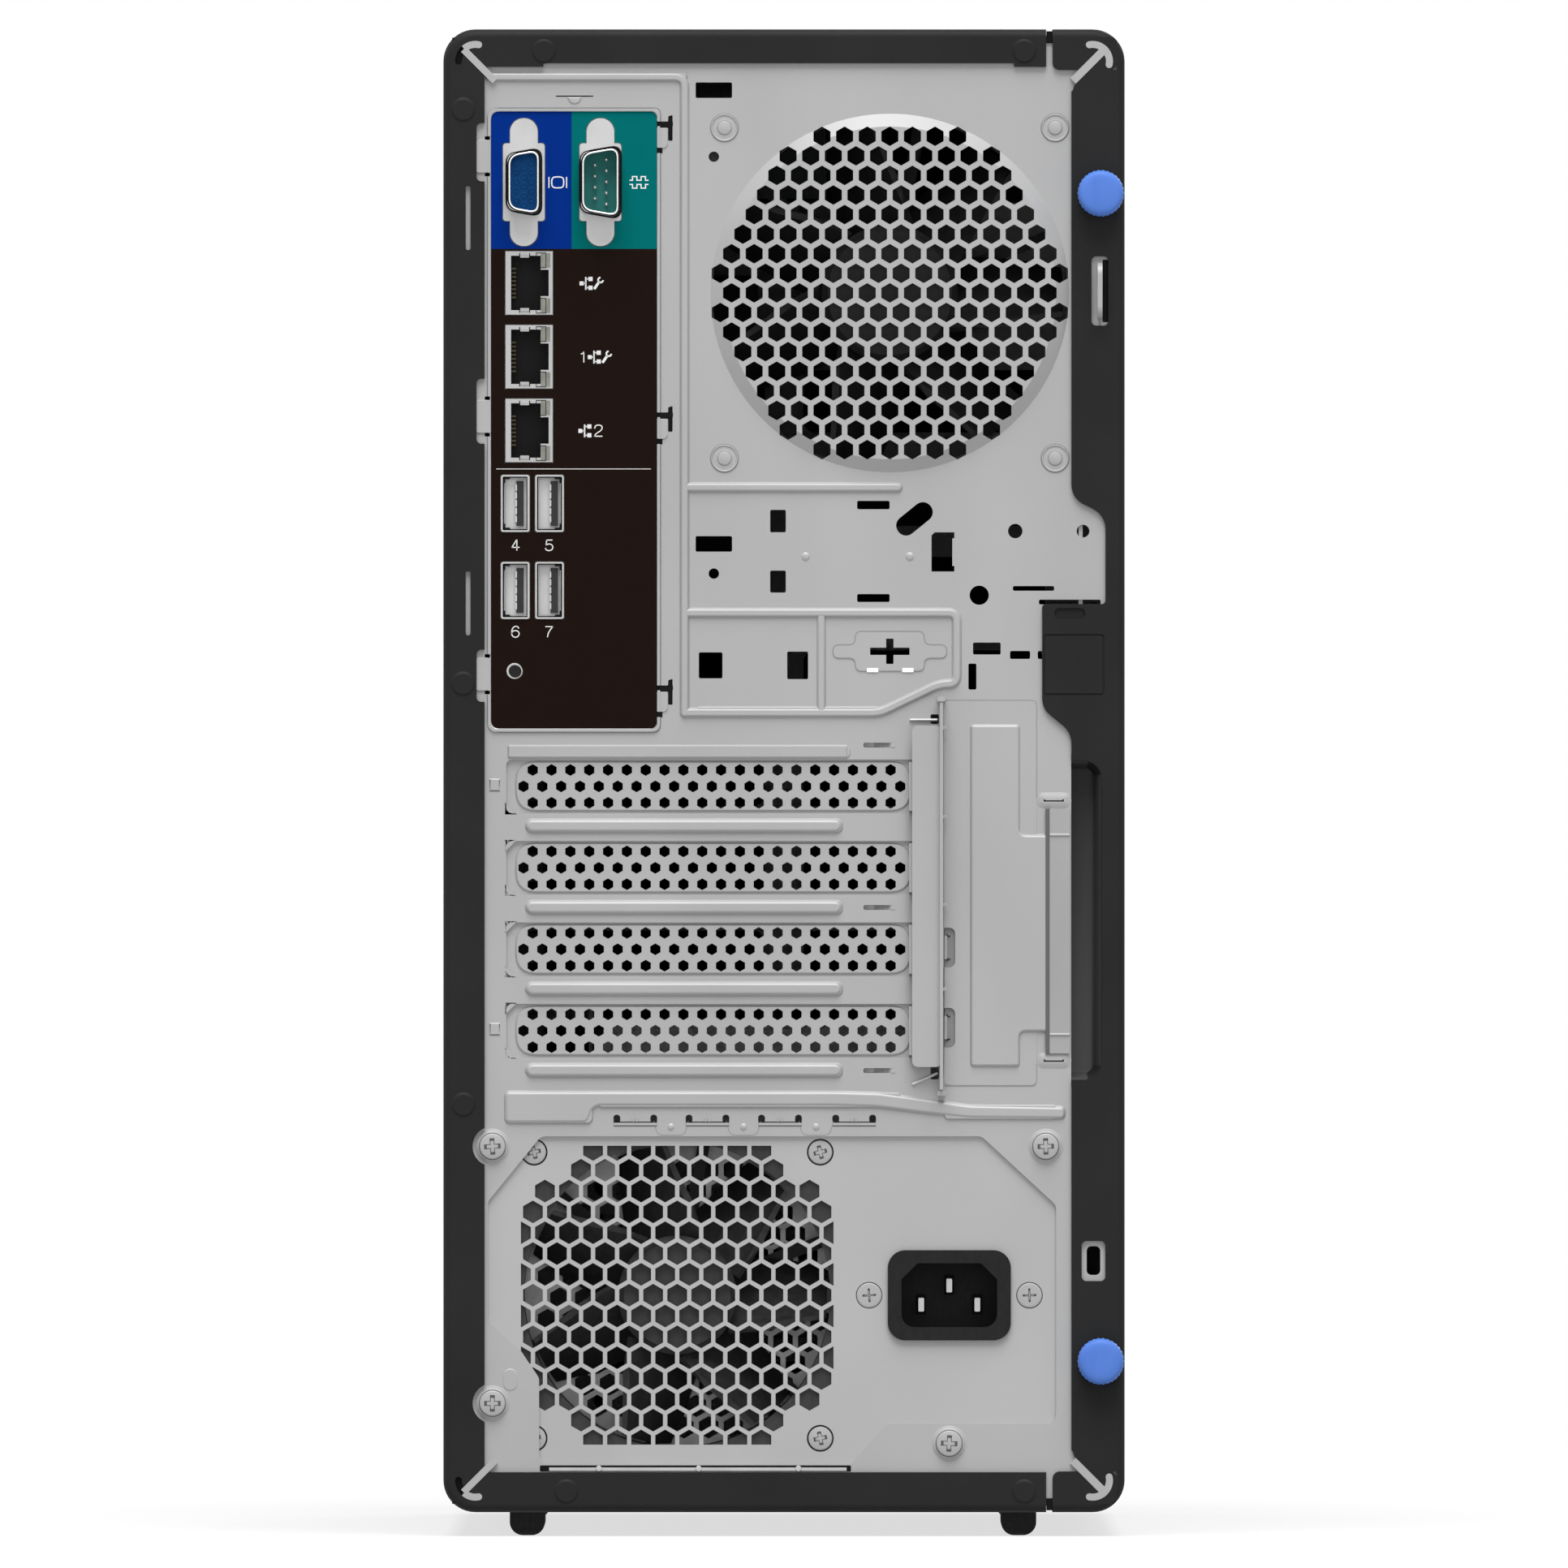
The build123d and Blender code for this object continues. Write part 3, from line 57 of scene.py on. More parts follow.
MM = 0.001
SHELL_LOW, SHELL_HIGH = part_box("outer_shell")
LABEL_LOW, LABEL_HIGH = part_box("io_label")
LEFT, TOP, UNDER = SHELL_LOW.x, SHELL_HIGH.z, SHELL_LOW.z
# The rear panel's flat face. Depths are in millimetres behind it, and negative in front of it.
PANEL_Y = SHELL_LOW.y + 1.55 * MM
FLANGE = -1.2
SUPPLY = 1.0
FOIL = (LABEL_LOW.y - PANEL_Y) / MM
# Drops, in millimetres below the case's top: the first slot's middle, the network jacks, the connector
# plate's hooks on the right and its tabs on the left, the card retainer's windows, the D-shaped ports and
# the handle's strip, with its length.
SLOT_DROP = 188.9
JACKS = (63.3, 81.7, 100.1)
HOOKS = (21.8, 94.4, 162.5)
SIDE_TABS = (31.7, 96.6, 160.9)
WINDOWS = (229.1, 249.1)
PORT_DROP = 38.15
HANDLE_DROP, HANDLE_LENGTH = 225.0, 61.0
# Distances from the case's left side: the power supply's tabs and the dimples between them.
SUPPLY_TABS = (47.9, 65.9, 84.0, 102.5)
SUPPLY_DIMPLES = (56.8, 74.9, 93.0)
# Middles of the power supply's fan and of the mains inlet, from the left side and above the underside.
FAN = (58.35, 54.14)
INLET = (126.25, 54.14)


def upper(a, b):
    """The point a millimetres in from the case's left side and b below its top."""
    return (LEFT + a * MM, TOP - b * MM)


def lower(a, h):
    """The point a millimetres in from the case's left side and h above its underside."""
    return (LEFT + a * MM, UNDER + h * MM)


def depth_of(y):
    """The depth behind the panel's face, in millimetres, of a place on the Y axis."""
    return (y - PANEL_Y) / MM


def linear(code):
    """Linear colour of an sRGB hex value."""
    out = []
    for k in (0, 2, 4):
        c = int(code.lstrip("#")[k:k + 2], 16) / 255
        out.append(c / 12.92 if c <= 0.04045 else ((c + 0.055) / 1.055) ** 2.4)
    return (*out, 1.0)


# Materials

def put(tree, kind, inputs=(), links=(), **settings):
    """Adds a shader node with its settings, its input values and its incoming links."""
    node = tree.nodes.new(kind)
    for key, value in settings.items():
        setattr(node, key, value)
    for key, value in dict(inputs).items():
        node.inputs[key].default_value = value
    for key, source in dict(links).items():
        tree.links.new(source, node.inputs[key])
    return node


def new_finish(name, colour, metallic, roughness, ior=1.5, specular=None):
    """A named material with its typical values; returns it with its tree and shader."""
    material = bpy.data.materials.new(name)
    material.use_nodes = True
    tree = material.node_tree
    shader = tree.nodes["Principled BSDF"]
    shader.inputs["Base Color"].default_value = linear(colour)
    shader.inputs["Metallic"].default_value = metallic
    shader.inputs["Roughness"].default_value = roughness
    shader.inputs["IOR"].default_value = ior
    if specular is not None:
        shader.inputs["Specular IOR Level"].default_value = specular
    material.diffuse_color = linear(colour)
    return material, tree, shader


def grain(tree, size_mm, detail=3.0, stretch=(1, 1, 1)):
    """Noise whose grains are size_mm across, stretched along the axes given."""
    place = put(tree, "ShaderNodeTexCoord")
    scale = put(tree, "ShaderNodeMapping", {"Scale": stretch}, {"Vector": place.outputs["Object"]})
    return put(tree, "ShaderNodeTexNoise", {"Scale": 1 / (size_mm * MM), "Detail": detail},
               {"Vector": scale.outputs["Vector"]})


def tint(tree, shader, noise, dark, light):
    """Lets the colour drift between two close shades."""
    ramp = put(tree, "ShaderNodeValToRGB", links={"Fac": noise.outputs["Fac"]})
    for element, place, shade in zip(ramp.color_ramp.elements, (0.3, 0.7), (dark, light)):
        element.position, element.color = place, linear(shade)
    tree.links.new(ramp.outputs["Color"], shader.inputs["Base Color"])


def relief(tree, shader, noise, depth_mm, strength):
    """Gives the surface the noise's humps."""
    bump = put(tree, "ShaderNodeBump", {"Strength": strength, "Distance": depth_mm * MM},
               {"Height": noise.outputs["Fac"]})
    tree.links.new(bump.outputs["Normal"], shader.inputs["Normal"])


def gloss_drift(tree, shader, noise, low, high):
    """Roughness that wanders a little, as handled or rolled surfaces do."""
    span = put(tree, "ShaderNodeMapRange", {"To Min": low, "To Max": high}, {"Value": noise.outputs["Fac"]})
    tree.links.new(span.outputs["Result"], shader.inputs["Roughness"])


def surface(name, colour, metallic, roughness, tone, skin=None, bump=None, gloss=None, specular=None,
            ior=1.5):
    """Makes a material maker. The tone gives two shades and their grain, the skin a finer grain for the
    bump (depth in mm, strength) and the gloss (least and most roughness). A colour is an sRGB hex value or
    the name of one in the colour settings."""
    def make(settings):
        dark, light = (getattr(settings, shade, shade) for shade in tone[:2])
        base = getattr(settings, colour, colour)
        material, tree, shader = new_finish(name, base, metallic, roughness, ior, specular)
        tint(tree, shader, grain(tree, *tone[2:]), dark, light)
        if bump or gloss:
            fine = grain(tree, *(skin or tone[2:]))
            if bump:
                relief(tree, shader, fine, *bump)
            if gloss:
                gloss_drift(tree, shader, fine, *gloss)
        return material
    return make


def plated_sheet(name, dark, light, roughness):
    """Rolled and zinc-plated steel: pale grey and nearly matt, with a fine crystalline bloom."""
    # The zinc's crystals are near 0.1 mm; drawn at 0.5 mm so that they show as a faint speckle.
    # The tone drifts over about 30 mm, and the rolling marks run along Z.
    return surface(name, dark, 0.15, roughness, (dark, light, 30.0, 1.0, (1, 1, 0.5)), (0.5, 2.0),
                   (0.012, 0.25), (roughness - 0.06, roughness + 0.06), 0.3)


def moulded(name, dark, light, roughness, flow_mm, bump, specular=0.2, ior=1.53):
    """A moulded plastic: two close shades in the flow of the melt, and the mould's fine grain."""
    return surface(name, dark, 0.0, roughness, (dark, light, flow_mm, 2.0, (1, 1, 0.5)), (0.5, 2.0),
                   (bump, 0.25), (roughness - 0.06, roughness + 0.07), specular, ior)


def printed_polyester(settings):
    """Screen-printed polyester foil: flat ink fields under a thin satin varnish."""
    material, tree, shader = new_finish("printed_polyester", settings.ink_dark, 0.0, 0.45, 1.57, 0.02)
    place = put(tree, "ShaderNodeTexCoord")
    axes = put(tree, "ShaderNodeSeparateXYZ", links={"Vector": place.outputs["Object"]})
    # The blue and teal fields meet at the first value, and the dark field begins under the second.
    split_x, split_z = upper(32.0, 54.8)
    right = put(tree, "ShaderNodeMath", {1: split_x}, {0: axes.outputs["X"]}, operation="GREATER_THAN")
    above = put(tree, "ShaderNodeMath", {1: split_z}, {0: axes.outputs["Z"]}, operation="GREATER_THAN")
    pair = put(tree, "ShaderNodeMix", {6: linear(settings.ink_blue), 7: linear(settings.ink_teal)},
               {0: right.outputs[0]}, data_type="RGBA")
    field = put(tree, "ShaderNodeMix", {6: linear(settings.ink_dark)},
                {0: above.outputs[0], 7: pair.outputs[2]}, data_type="RGBA")
    # Ink density drifts by a few percent over about 6 mm.
    ink = grain(tree, 6.0, 2.0)
    wash = put(tree, "ShaderNodeMapRange", {"To Min": 0.95, "To Max": 1.05}, {"Value": ink.outputs["Fac"]})
    shade = put(tree, "ShaderNodeHueSaturation", links={"Value": wash.outputs["Result"],
                                                        "Color": field.outputs[2]})
    tree.links.new(shade.outputs["Color"], shader.inputs["Base Color"])
    relief(tree, shader, grain(tree, 0.8), 0.004, 0.2)
    gloss_drift(tree, shader, ink, 0.4, 0.5)
    return material


def jack_shell(settings):
    """Network jack: a plated steel shield round a black moulded core, told apart by depth."""
    material, tree, shader = new_finish("plated_jack_shell", "#B4B4B4", 0.5, 0.42, specular=0.15)
    place = put(tree, "ShaderNodeTexCoord")
    axes = put(tree, "ShaderNodeSeparateXYZ", links={"Vector": place.outputs["Object"]})
    core = put(tree, "ShaderNodeMath", {1: PANEL_Y - 0.2 * MM}, {0: axes.outputs["Y"]},
               operation="GREATER_THAN")
    marks = grain(tree, 0.6)
    plate_tone = put(tree, "ShaderNodeValToRGB", links={"Fac": marks.outputs["Fac"]})
    for element, shade in zip(plate_tone.color_ramp.elements, ("#AEAEAE", "#B9B9B9")):
        element.color = linear(shade)
    both = put(tree, "ShaderNodeMix", {7: linear("#262626")},
               {0: core.outputs[0], 6: plate_tone.outputs["Color"]}, data_type="RGBA")
    tree.links.new(both.outputs[2], shader.inputs["Base Color"])
    metal = put(tree, "ShaderNodeMapRange", {"To Min": 0.5, "To Max": 0.0}, {"Value": core.outputs[0]})
    tree.links.new(metal.outputs["Result"], shader.inputs["Metallic"])
    gloss_drift(tree, shader, marks, 0.38, 0.5)
    return material


def solder_masked_board(settings):
    """Glass-epoxy board under green solder mask: glossy, with the weave just showing."""
    material, tree, shader = new_finish("solder_masked_board", "#1F4A33", 0.0, 0.3, 1.55)
    # The glass weave has a thread every 0.5 mm, drawn at 2 mm so that it shows.
    weave = put(tree, "ShaderNodeTexWave", {"Scale": 1 / (2.0 * MM), "Distortion": 1.5},
                {"Vector": put(tree, "ShaderNodeTexCoord").outputs["Object"]})
    tint(tree, shader, weave, "#1B422D", "#24543B")
    relief(tree, shader, weave, 0.01, 0.2)
    return material


# Each finish: how its material is made, and its slot.
FINISHES = {
    # Black polyester powder coat, baked: an even satin black with a fine orange-peel skin. The real skin is
    # about 0.4 mm from hump to hump; drawn at 0.9 mm so that it shows.
    "powder": (surface("powder_coated_steel", "paint", 0.0, 0.55, ("paint", "paint_light", 26.0),
                       (0.9, 2.0), (0.03, 0.3), (0.48, 0.62), 0.12), "black_paint"),
    "sheet": (plated_sheet("zinc_plated_sheet", "steel", "steel_light", 0.5), "zinc_steel"),
    "bead": (plated_sheet("drawn_zinc_sheet", "steel", "steel_light", 0.44), "zinc_steel"),
    # Darker grey lines and plates laid on the sheet as painted shade: at creases and steps, round rivets, on
    # pocket floors and middle lances, and in gaps.
    "crease": (plated_sheet("zinc_crease_painted_shade", "edge", "crease_shade_light", 0.55), "zinc_steel"),
    "groove": (plated_sheet("shaded_zinc_groove", "groove", "groove", 0.6), "zinc_steel"),
    # The handle's strip: the sheet drawn in a darker grey.
    "strip": (plated_sheet("darker_zinc_strip", "strip", "steel", 0.5), "zinc_steel"),
    "supply": (plated_sheet("galvanised_supply_case", "supply", "supply_light", 0.5), "zinc_steel"),
    # Nickel plate on stamped connector shells: close to the sheet in tone, but smoother, with fine upright
    # scratches from the stamping.
    "nickel": (surface("nickel_plated_steel", "#BDBDBD", 0.4, 0.42, ("#B9B9B9", "#C3C3C3", 8.0, 1.0),
                       (0.6, 3.0, (1, 1, 0.15)), (0.004, 0.15), (0.34, 0.46)), "connector_shell"),
    # Bright tin plate on rolled rims and pins, raised to near white: partly the tin's own colour, partly a
    # painted highlight along the white line where it catches the light.
    "bright_rim": (surface("bright_tin_and_painted_highlight", "#E9E9E9", 0.75, 0.25, ("#E2E2E2", "#F0F0F0", 0.4, 2.0),
                           None, (0.003, 0.1), (0.2, 0.32)), "connector_shell"),
    # Zinc-plated pressed screw heads: bright rims and a soft bloom.
    "screw": (surface("zinc_plated_screw", "#BDBDBD", 0.7, 0.38, ("#B2B2B2", "#C6C6C6", 1.5, 2.0),
                      gloss=(0.32, 0.46)), "plated_screws"),
    "knob": (moulded("moulded_abs_blue", "knob", "knob_light", 0.45, 4.0, 0.01, 0.15, 1.54), "blue_knob"),
    "fan": (moulded("moulded_nylon_black", "#181818", "#202020", 0.55, 2.2, 0.02), "fan_plastic"),
    "supply_fan": (moulded("moulded_nylon_grey", "#343434", "#3E3E3E", 0.55, 2.2, 0.02), "fan_plastic"),
    "inlet": (moulded("moulded_inlet_nylon", "#202020", "#262626", 0.5, 1.2, 0.01, 0.1), "inlet_plastic"),
    # A lighter grey than the paint for the finger grip's liner: painted light against the pocket's shade.
    "grip": (moulded("grip_liner_painted_light", "#3F3F3F", "#444444", 0.6, 22.0, 0.03, 0.2, 1.54),
             "bezel_plastic"),
    "bezel": (moulded("eroded_abs_black", "#202020", "#272727", 0.6, 22.0, 0.04, 0.2, 1.54),
              "bezel_plastic"),
    "foil": (printed_polyester, "label_foil"),
    # White screen ink: slightly chalky, with the edge of the mesh in its surface.
    "ink": (surface("white_screen_ink", "#F2F2F2", 0.0, 0.6, ("#ECECEC", "#F8F8F8", 0.5, 1.0)),
            "label_foil"),
    "jack": (jack_shell, "jack_body"),
    "vga": (moulded("moulded_pbt_blue", "#0A3867", "#0E4174", 0.45, 1.6, 0.01, 0.04, 1.58), "vga_blue"),
    "serial": (moulded("moulded_pbt_teal", "#327874", "#367E78", 0.45, 1.6, 0.01, 0.04, 1.58),
               "serial_teal"),
    # Black moulded parts; the same black also laid as painted shadow in gaps, slits and notches.
    "black_and_shadow": (moulded("black_pbt_and_painted_shadow", "#0E0E0E", "#161616", 0.6, 1.6, 0.01, 0.06, 1.58),
                   "jack_body"),
    "tongue": (moulded("moulded_tongue_black", "#2E2E2E", "#363636", 0.5, 1.6, 0.01, 0.15, 1.58),
               "jack_body"),
    "slot": (moulded("moulded_lcp_dark", "#26272B", "#303136", 0.5, 1.6, 0.01), "slot_plastic"),
    "board": (solder_masked_board, "circuit_board"),
    # Extruded and mill-finished aluminium: fine lines along the fins.
    "cooler": (surface("extruded_aluminium", "#C2C3C6", 1.0, 0.38,
                       ("#B4B5B8", "#CCCDD0", 0.6, 2.0, (1, 0.03, 1)), gloss=(0.32, 0.46)),
               "cooler_aluminium"),
    # Cast and cleaned aluminium drive body: a dull, slightly pitted grey.
    "casting": (surface("cast_aluminium", "#A4A5A8", 1.0, 0.5, ("#98999C", "#B0B1B4", 1.1, 4.0),
                        bump=(0.04, 0.3)), "drive_casting"),
    # Gold contacts deep in the jack, darkened to a dark olive line as painted shade.
    "gold": (surface("gold_darkened_as_painted_shade", "#3A3423", 0.6, 0.4, ("#2A2618", "#463E28", 0.8, 2.0)),
             "gold_contacts"),
    "lamp": (moulded("frosted_polycarbonate", "#7E7E7A", "#98988F", 0.4, 1.4, 0.01, 0.2, 1.58),
             "jack_lamps"),
    "rubber": (moulded("moulded_rubber", "#363636", "#3F3F3F", 0.75, 0.9, 0.03, 0.15, 1.52),
               "foot_rubber"),
    # Nickel-plated steel guard behind the fan, drawn in a mid grey, darker than the other plated parts; it
    # mirrors the room through the vents.
    "guard": (surface("mid_grey_guard_steel", "#8A8A8A", 1.0, 0.4, ("#848484", "#929292", 3.0, 2.0)),
              "zinc_steel"),
    # Open-cell polyurethane foam, black: it swallows the light behind the front louvres. Cells are about
    # 1 mm across.
    "foam": (surface("open_cell_foam", "#121212", 0.0, 0.95, ("#0A0A0A", "#1A1A1A", 1.0, 1.0),
                     bump=(0.3, 0.8), specular=0.05, ior=1.45), "bezel_plastic"),
}
# The solids that stay, by finish.
CARRIED = {
    "powder": ["outer_shell", "side_cover"],
    "sheet": ["rear_panel", "inner_frame", "padlock_loop", "drive_cage", "front_panel", "card_retainer",
              "io_shield"],
    "supply": ["psu_case"],
    "screw": ["drive_screws", "board_standoffs"],
    "foil": ["io_label"],
    "nickel": ["vga_shell", "serial_shell", "usb_shells", "serial_pins", "ac_pins", "front_usb_ports"],
    "vga": ["vga_insert"],
    "serial": ["serial_insert"],
    "jack": ["lan_jack_1", "lan_jack_2", "lan_jack_3"],
    "black_and_shadow": ["usb_housing", "id_switch"],
    "tongue": ["usb_tongues"],
    "gold": ["lan_contacts"],
    "lamp": ["lan_lamps"],
    "fan": ["rear_fan_frame", "rear_fan_rotor", "cpu_fan_frame", "cpu_fan_rotor"],
    "supply_fan": ["psu_fan_frame", "psu_fan_rotor"],
    "inlet": ["ac_inlet", "id_button"],
    "board": ["motherboard", "front_board", "memory_modules"],
    "slot": ["card_slots", "memory_slots", "cpu_socket"],
    "cooler": ["cpu_heatsink"],
    "casting": ["hard_drive_1", "hard_drive_2", "hard_drive_3", "hard_drive_4"],
    "bezel": ["front_bezel", "bay_blank", "power_button"],
    "rubber": ["feet"],
}
MADE = {}


def finish(key):
    """The finish's material, made once from the colours in the panel."""
    if key not in MADE:
        MADE[key] = FINISHES[key][0](bpy.context.scene.server_colours)
    return MADE[key]


def smoothed(mesh, angle=40):
    """Smooth shading up to the given angle, sharp beyond it."""
    mesh.shade_smooth()
    mesh.set_sharp_from_angle(angle=math.radians(angle))
    return mesh


def joined(meshes):
    """One mesh of several."""
    bm = bmesh.new()
    for mesh in meshes:
        bm.from_mesh(mesh)
        bpy.data.meshes.remove(mesh)
    out = bpy.data.meshes.new("joined")
    bm.to_mesh(out)
    bm.free()
    return smoothed(out)


def dress(form, name, key, body="chassis"):
    """Makes a shown piece of a mesh or a list of meshes: links it, finishes it and lets it ride."""
    mesh = joined(form) if isinstance(form, list) else form
    obj = bpy.data.objects.new(name, mesh)
    bpy.context.scene.collection.objects.link(obj)
    mesh.materials.clear()
    mesh.materials.append(finish(key))
    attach(obj, body)
    return obj


# Shapes of the rear view: loops are lists of (X, Z) points in metres, sizes and depths are in millimetres.

def skinned(rows, angle, ring=True, loop=False, caps=(), lid=False, weld=False):
    """A mesh over rows of points. A row is a ring or an open line, and the rows may close into a loop. The
    caps are numbers of rows that get a face, the lid fills the last row, and weld merges equal points."""
    bm = bmesh.new()
    rows = [[bm.verts.new(point) for point in row] for row in rows]
    if loop:
        rows.append(rows[0])
    for low, high in zip(rows, rows[1:]):
        count = len(low)
        for k in range(count if ring else count - 1):
            bm.faces.new((low[k], low[(k + 1) % count], high[(k + 1) % count], high[k]))
    for cap in caps:
        bm.faces.new(rows[cap])
    if lid:
        for corners in tessellate_polygon([[Vector((v.co.x, v.co.z, 0)) for v in rows[-1]]]):
            bm.faces.new([rows[-1][k] for k in corners])
    if weld:
        bmesh.ops.remove_doubles(bm, verts=bm.verts, dist=1e-7)
    bmesh.ops.recalc_face_normals(bm, faces=bm.faces)
    mesh = bpy.data.meshes.new("form")
    bm.to_mesh(mesh)
    bm.free()
    return smoothed(mesh, angle)


def outwards(mesh, number):
    """The mesh, turned inside out if the face of that number looks into the case."""
    if mesh.polygons[number].normal.y > 0:
        mesh.flip_normals()
    return mesh


def spot(point, way, reach, depth):
    """The place at a depth behind the panel, moved from a point of the rear view by reach along a way."""
    return (point[0] + way[0] * reach * MM, PANEL_Y + depth * MM, point[1] + way[1] * reach * MM)


def rounded(loop, radius, steps=5, closed=True):
    """The loop with its corners rounded."""
    out = []
    count = len(loop)
    for n, point in enumerate(loop):
        p = Vector(point)
        if not closed and n in (0, count - 1):
            out.append(p)
            continue
        back, ahead = Vector(loop[n - 1]) - p, Vector(loop[(n + 1) % count]) - p
        reach = min(radius * MM, back.length * 0.49, ahead.length * 0.49)
        a, b = p + back.normalized() * reach, p + ahead.normalized() * reach
        for t in (k / steps for k in range(steps + 1)):
            out.append((1 - t) ** 2 * a + 2 * t * (1 - t) * p + t ** 2 * b)
    clean = [out[0]]
    for p in out[1:]:
        if (p - clean[-1]).length > 0.02 * MM:
            clean.append(p)
    if closed and (clean[0] - clean[-1]).length < 0.02 * MM:
        clean.pop()
    return clean


def box_loop(centre, w, h, radius=0.0):
    """A rectangle from its centre and its sides, with rounded corners if asked."""
    x, z = centre
    w, h = w * MM / 2, h * MM / 2
    loop = [(x - w, z - h), (x + w, z - h), (x + w, z + h), (x - w, z + h)]
    return rounded(loop, radius) if radius else loop


def ring_loop(centre, r, steps=32, turn=0.0):
    """A regular ring of points of radius r."""
    x, z = centre
    return [(x + r * MM * math.cos(2 * math.pi * k / steps + turn),
             z + r * MM * math.sin(2 * math.pi * k / steps + turn)) for k in range(steps)]


def d_loop(centre, w, h, radius):
    """The D shape of a port stood on end, wide side to the right."""
    x, z = centre
    cut = w * math.tan(math.radians(10)) * MM
    w, h = w * MM / 2, h * MM / 2
    return rounded([(x - w, z - h + cut), (x + w, z - h), (x + w, z + h), (x - w, z + h - cut)], radius, 6)


def ways(line, closed):
    """At each point of a line, the unit vector to its left and the share that keeps the width."""
    out = []
    count = len(line)
    for n, p in enumerate(line):
        back = p - line[n - 1] if n or closed else line[1] - p
        ahead = line[(n + 1) % count] - p if n + 1 < count or closed else back
        back, ahead = back.normalized(), ahead.normalized()
        way = (back + ahead).normalized() if (back + ahead).length > 1e-6 else back
        side = Vector((-way.y, way.x))
        out.append((side, 1 / max(0.6, side.dot(Vector((-back.y, back.x))))))
    return out


def stroke_loop(path, width, radius=3.0):
    """The outline of a line of the given width with round ends, along a path of corners."""
    line = rounded(path, radius, 6, False)
    half = width * MM / 2
    sides = [side * half for side, _ in ways(line, False)]

    def cap(end, way):
        side = Vector((-way.y, way.x))
        return [end + half * (side * math.cos(t) + way * math.sin(t))
                for t in (math.pi * k / 8 for k in range(1, 8))]
    last, first = (line[-1] - line[-2]).normalized(), (line[0] - line[1]).normalized()
    left = [p + side for p, side in zip(line, sides)]
    right = [p - side for p, side in zip(line, sides)]
    return left + cap(line[-1], last) + right[::-1] + cap(line[0], first)


def pressed(loop, height, slope, radius=1.5):
    """A pressed form: it rises from the panel in a soft S over the slope, then lies flat."""
    loop = rounded(loop, radius) if radius else [Vector(p) for p in loop]
    area = sum(a.x * b.y - b.x * a.y for a, b in zip(loop, loop[1:] + loop[:1]))
    inwards = [side * (1 if area > 0 else -1) for side, _ in ways(loop, True)]
    rings = ((0.0, -0.08), (0.12, 0.06), (0.3, 0.34), (0.5, 0.66), (0.7, 0.88), (0.88, 0.98), (1.0, 1.0),
             (1.12, 1.0))
    rows = [[spot(p, way, share * slope, -rise * height) for p, way in zip(loop, inwards)]
            for share, rise in rings]
    return outwards(skinned(rows, 60, lid=True), -1)


def plate(outline, near, far, holes=(), bevel=0.0):
    """A flat plate between two depths, with holes through it."""
    curve = bpy.data.curves.new("plate", "CURVE")
    curve.dimensions = "2D"
    curve.fill_mode = "BOTH"
    curve.extrude = (far - near) * MM / 2 - bevel * MM
    curve.bevel_depth = bevel * MM
    curve.bevel_resolution = 1
    for loop in [outline, *holes]:
        spline = curve.splines.new("POLY")
        spline.points.add(len(loop) - 1)
        for point, place in zip(spline.points, loop):
            point.co = (place[0], place[1], 0, 1)
        spline.use_cyclic_u = True
    carrier = bpy.data.objects.new("plate", curve)
    mesh = bpy.data.meshes.new_from_object(carrier)
    bpy.data.objects.remove(carrier)
    bpy.data.curves.remove(curve)
    middle = Matrix.Translation((0, PANEL_Y + (near + far) / 2 * MM, 0))
    mesh.transform(middle @ Matrix.Rotation(math.radians(90), 4, "X"))
    return smoothed(mesh, 35)


def slab(centre, w, h, near, far, radius=0.0, bevel=0.0):
    """A rectangular plate between two depths, with rounded corners if asked."""
    return plate(box_loop(centre, w, h, radius), near, far, bevel=bevel)


def ribbon(path, width, near, far=0.0, radius=0.0, closed=False):
    """A line of even width and square section between two depths, along a path of corners."""
    line = rounded(path, radius, 5, closed) if radius else [Vector(p) for p in path]
    corners = ((1, near), (-1, near), (-1, far), (1, far))
    rows = [[spot(p, side, s * share * width / 2, depth) for s, depth in corners]
            for p, (side, share) in zip(line, ways(line, closed))]
    return skinned(rows, 20, loop=closed, caps=() if closed else (0, -1))


def tube(loop, radius, depth, closed=True):
    """A round bar along a loop of the rear view, with its middle at a depth."""
    line = [Vector(p) for p in loop]
    turns = [math.pi * k / 5 for k in range(10)]
    rows = [[spot(p, side, math.cos(t) * share * radius, depth + math.sin(t) * radius) for t in turns]
            for p, (side, share) in zip(line, ways(line, closed))]
    return skinned(rows, 50, loop=closed, caps=() if closed else (0, -1))


def turned(profile, centre, depth=0.0, steps=48):
    """A form of revolution about an axis along Y; the profile gives pairs of radius and depth."""
    turns = [2 * math.pi * k / steps for k in range(steps)]
    rows = [[spot(centre, (math.cos(t), math.sin(t)), r, depth + d) for r, d in profile] for t in turns]
    return skinned(rows, 35, ring=False, loop=True, weld=True)


def washer(centre, outer, inner, near, far, steps=40, bevel=0.0):
    """A flat ring between two radii."""
    return plate(ring_loop(centre, outer, steps), near, far, [ring_loop(centre, inner, steps)], bevel)


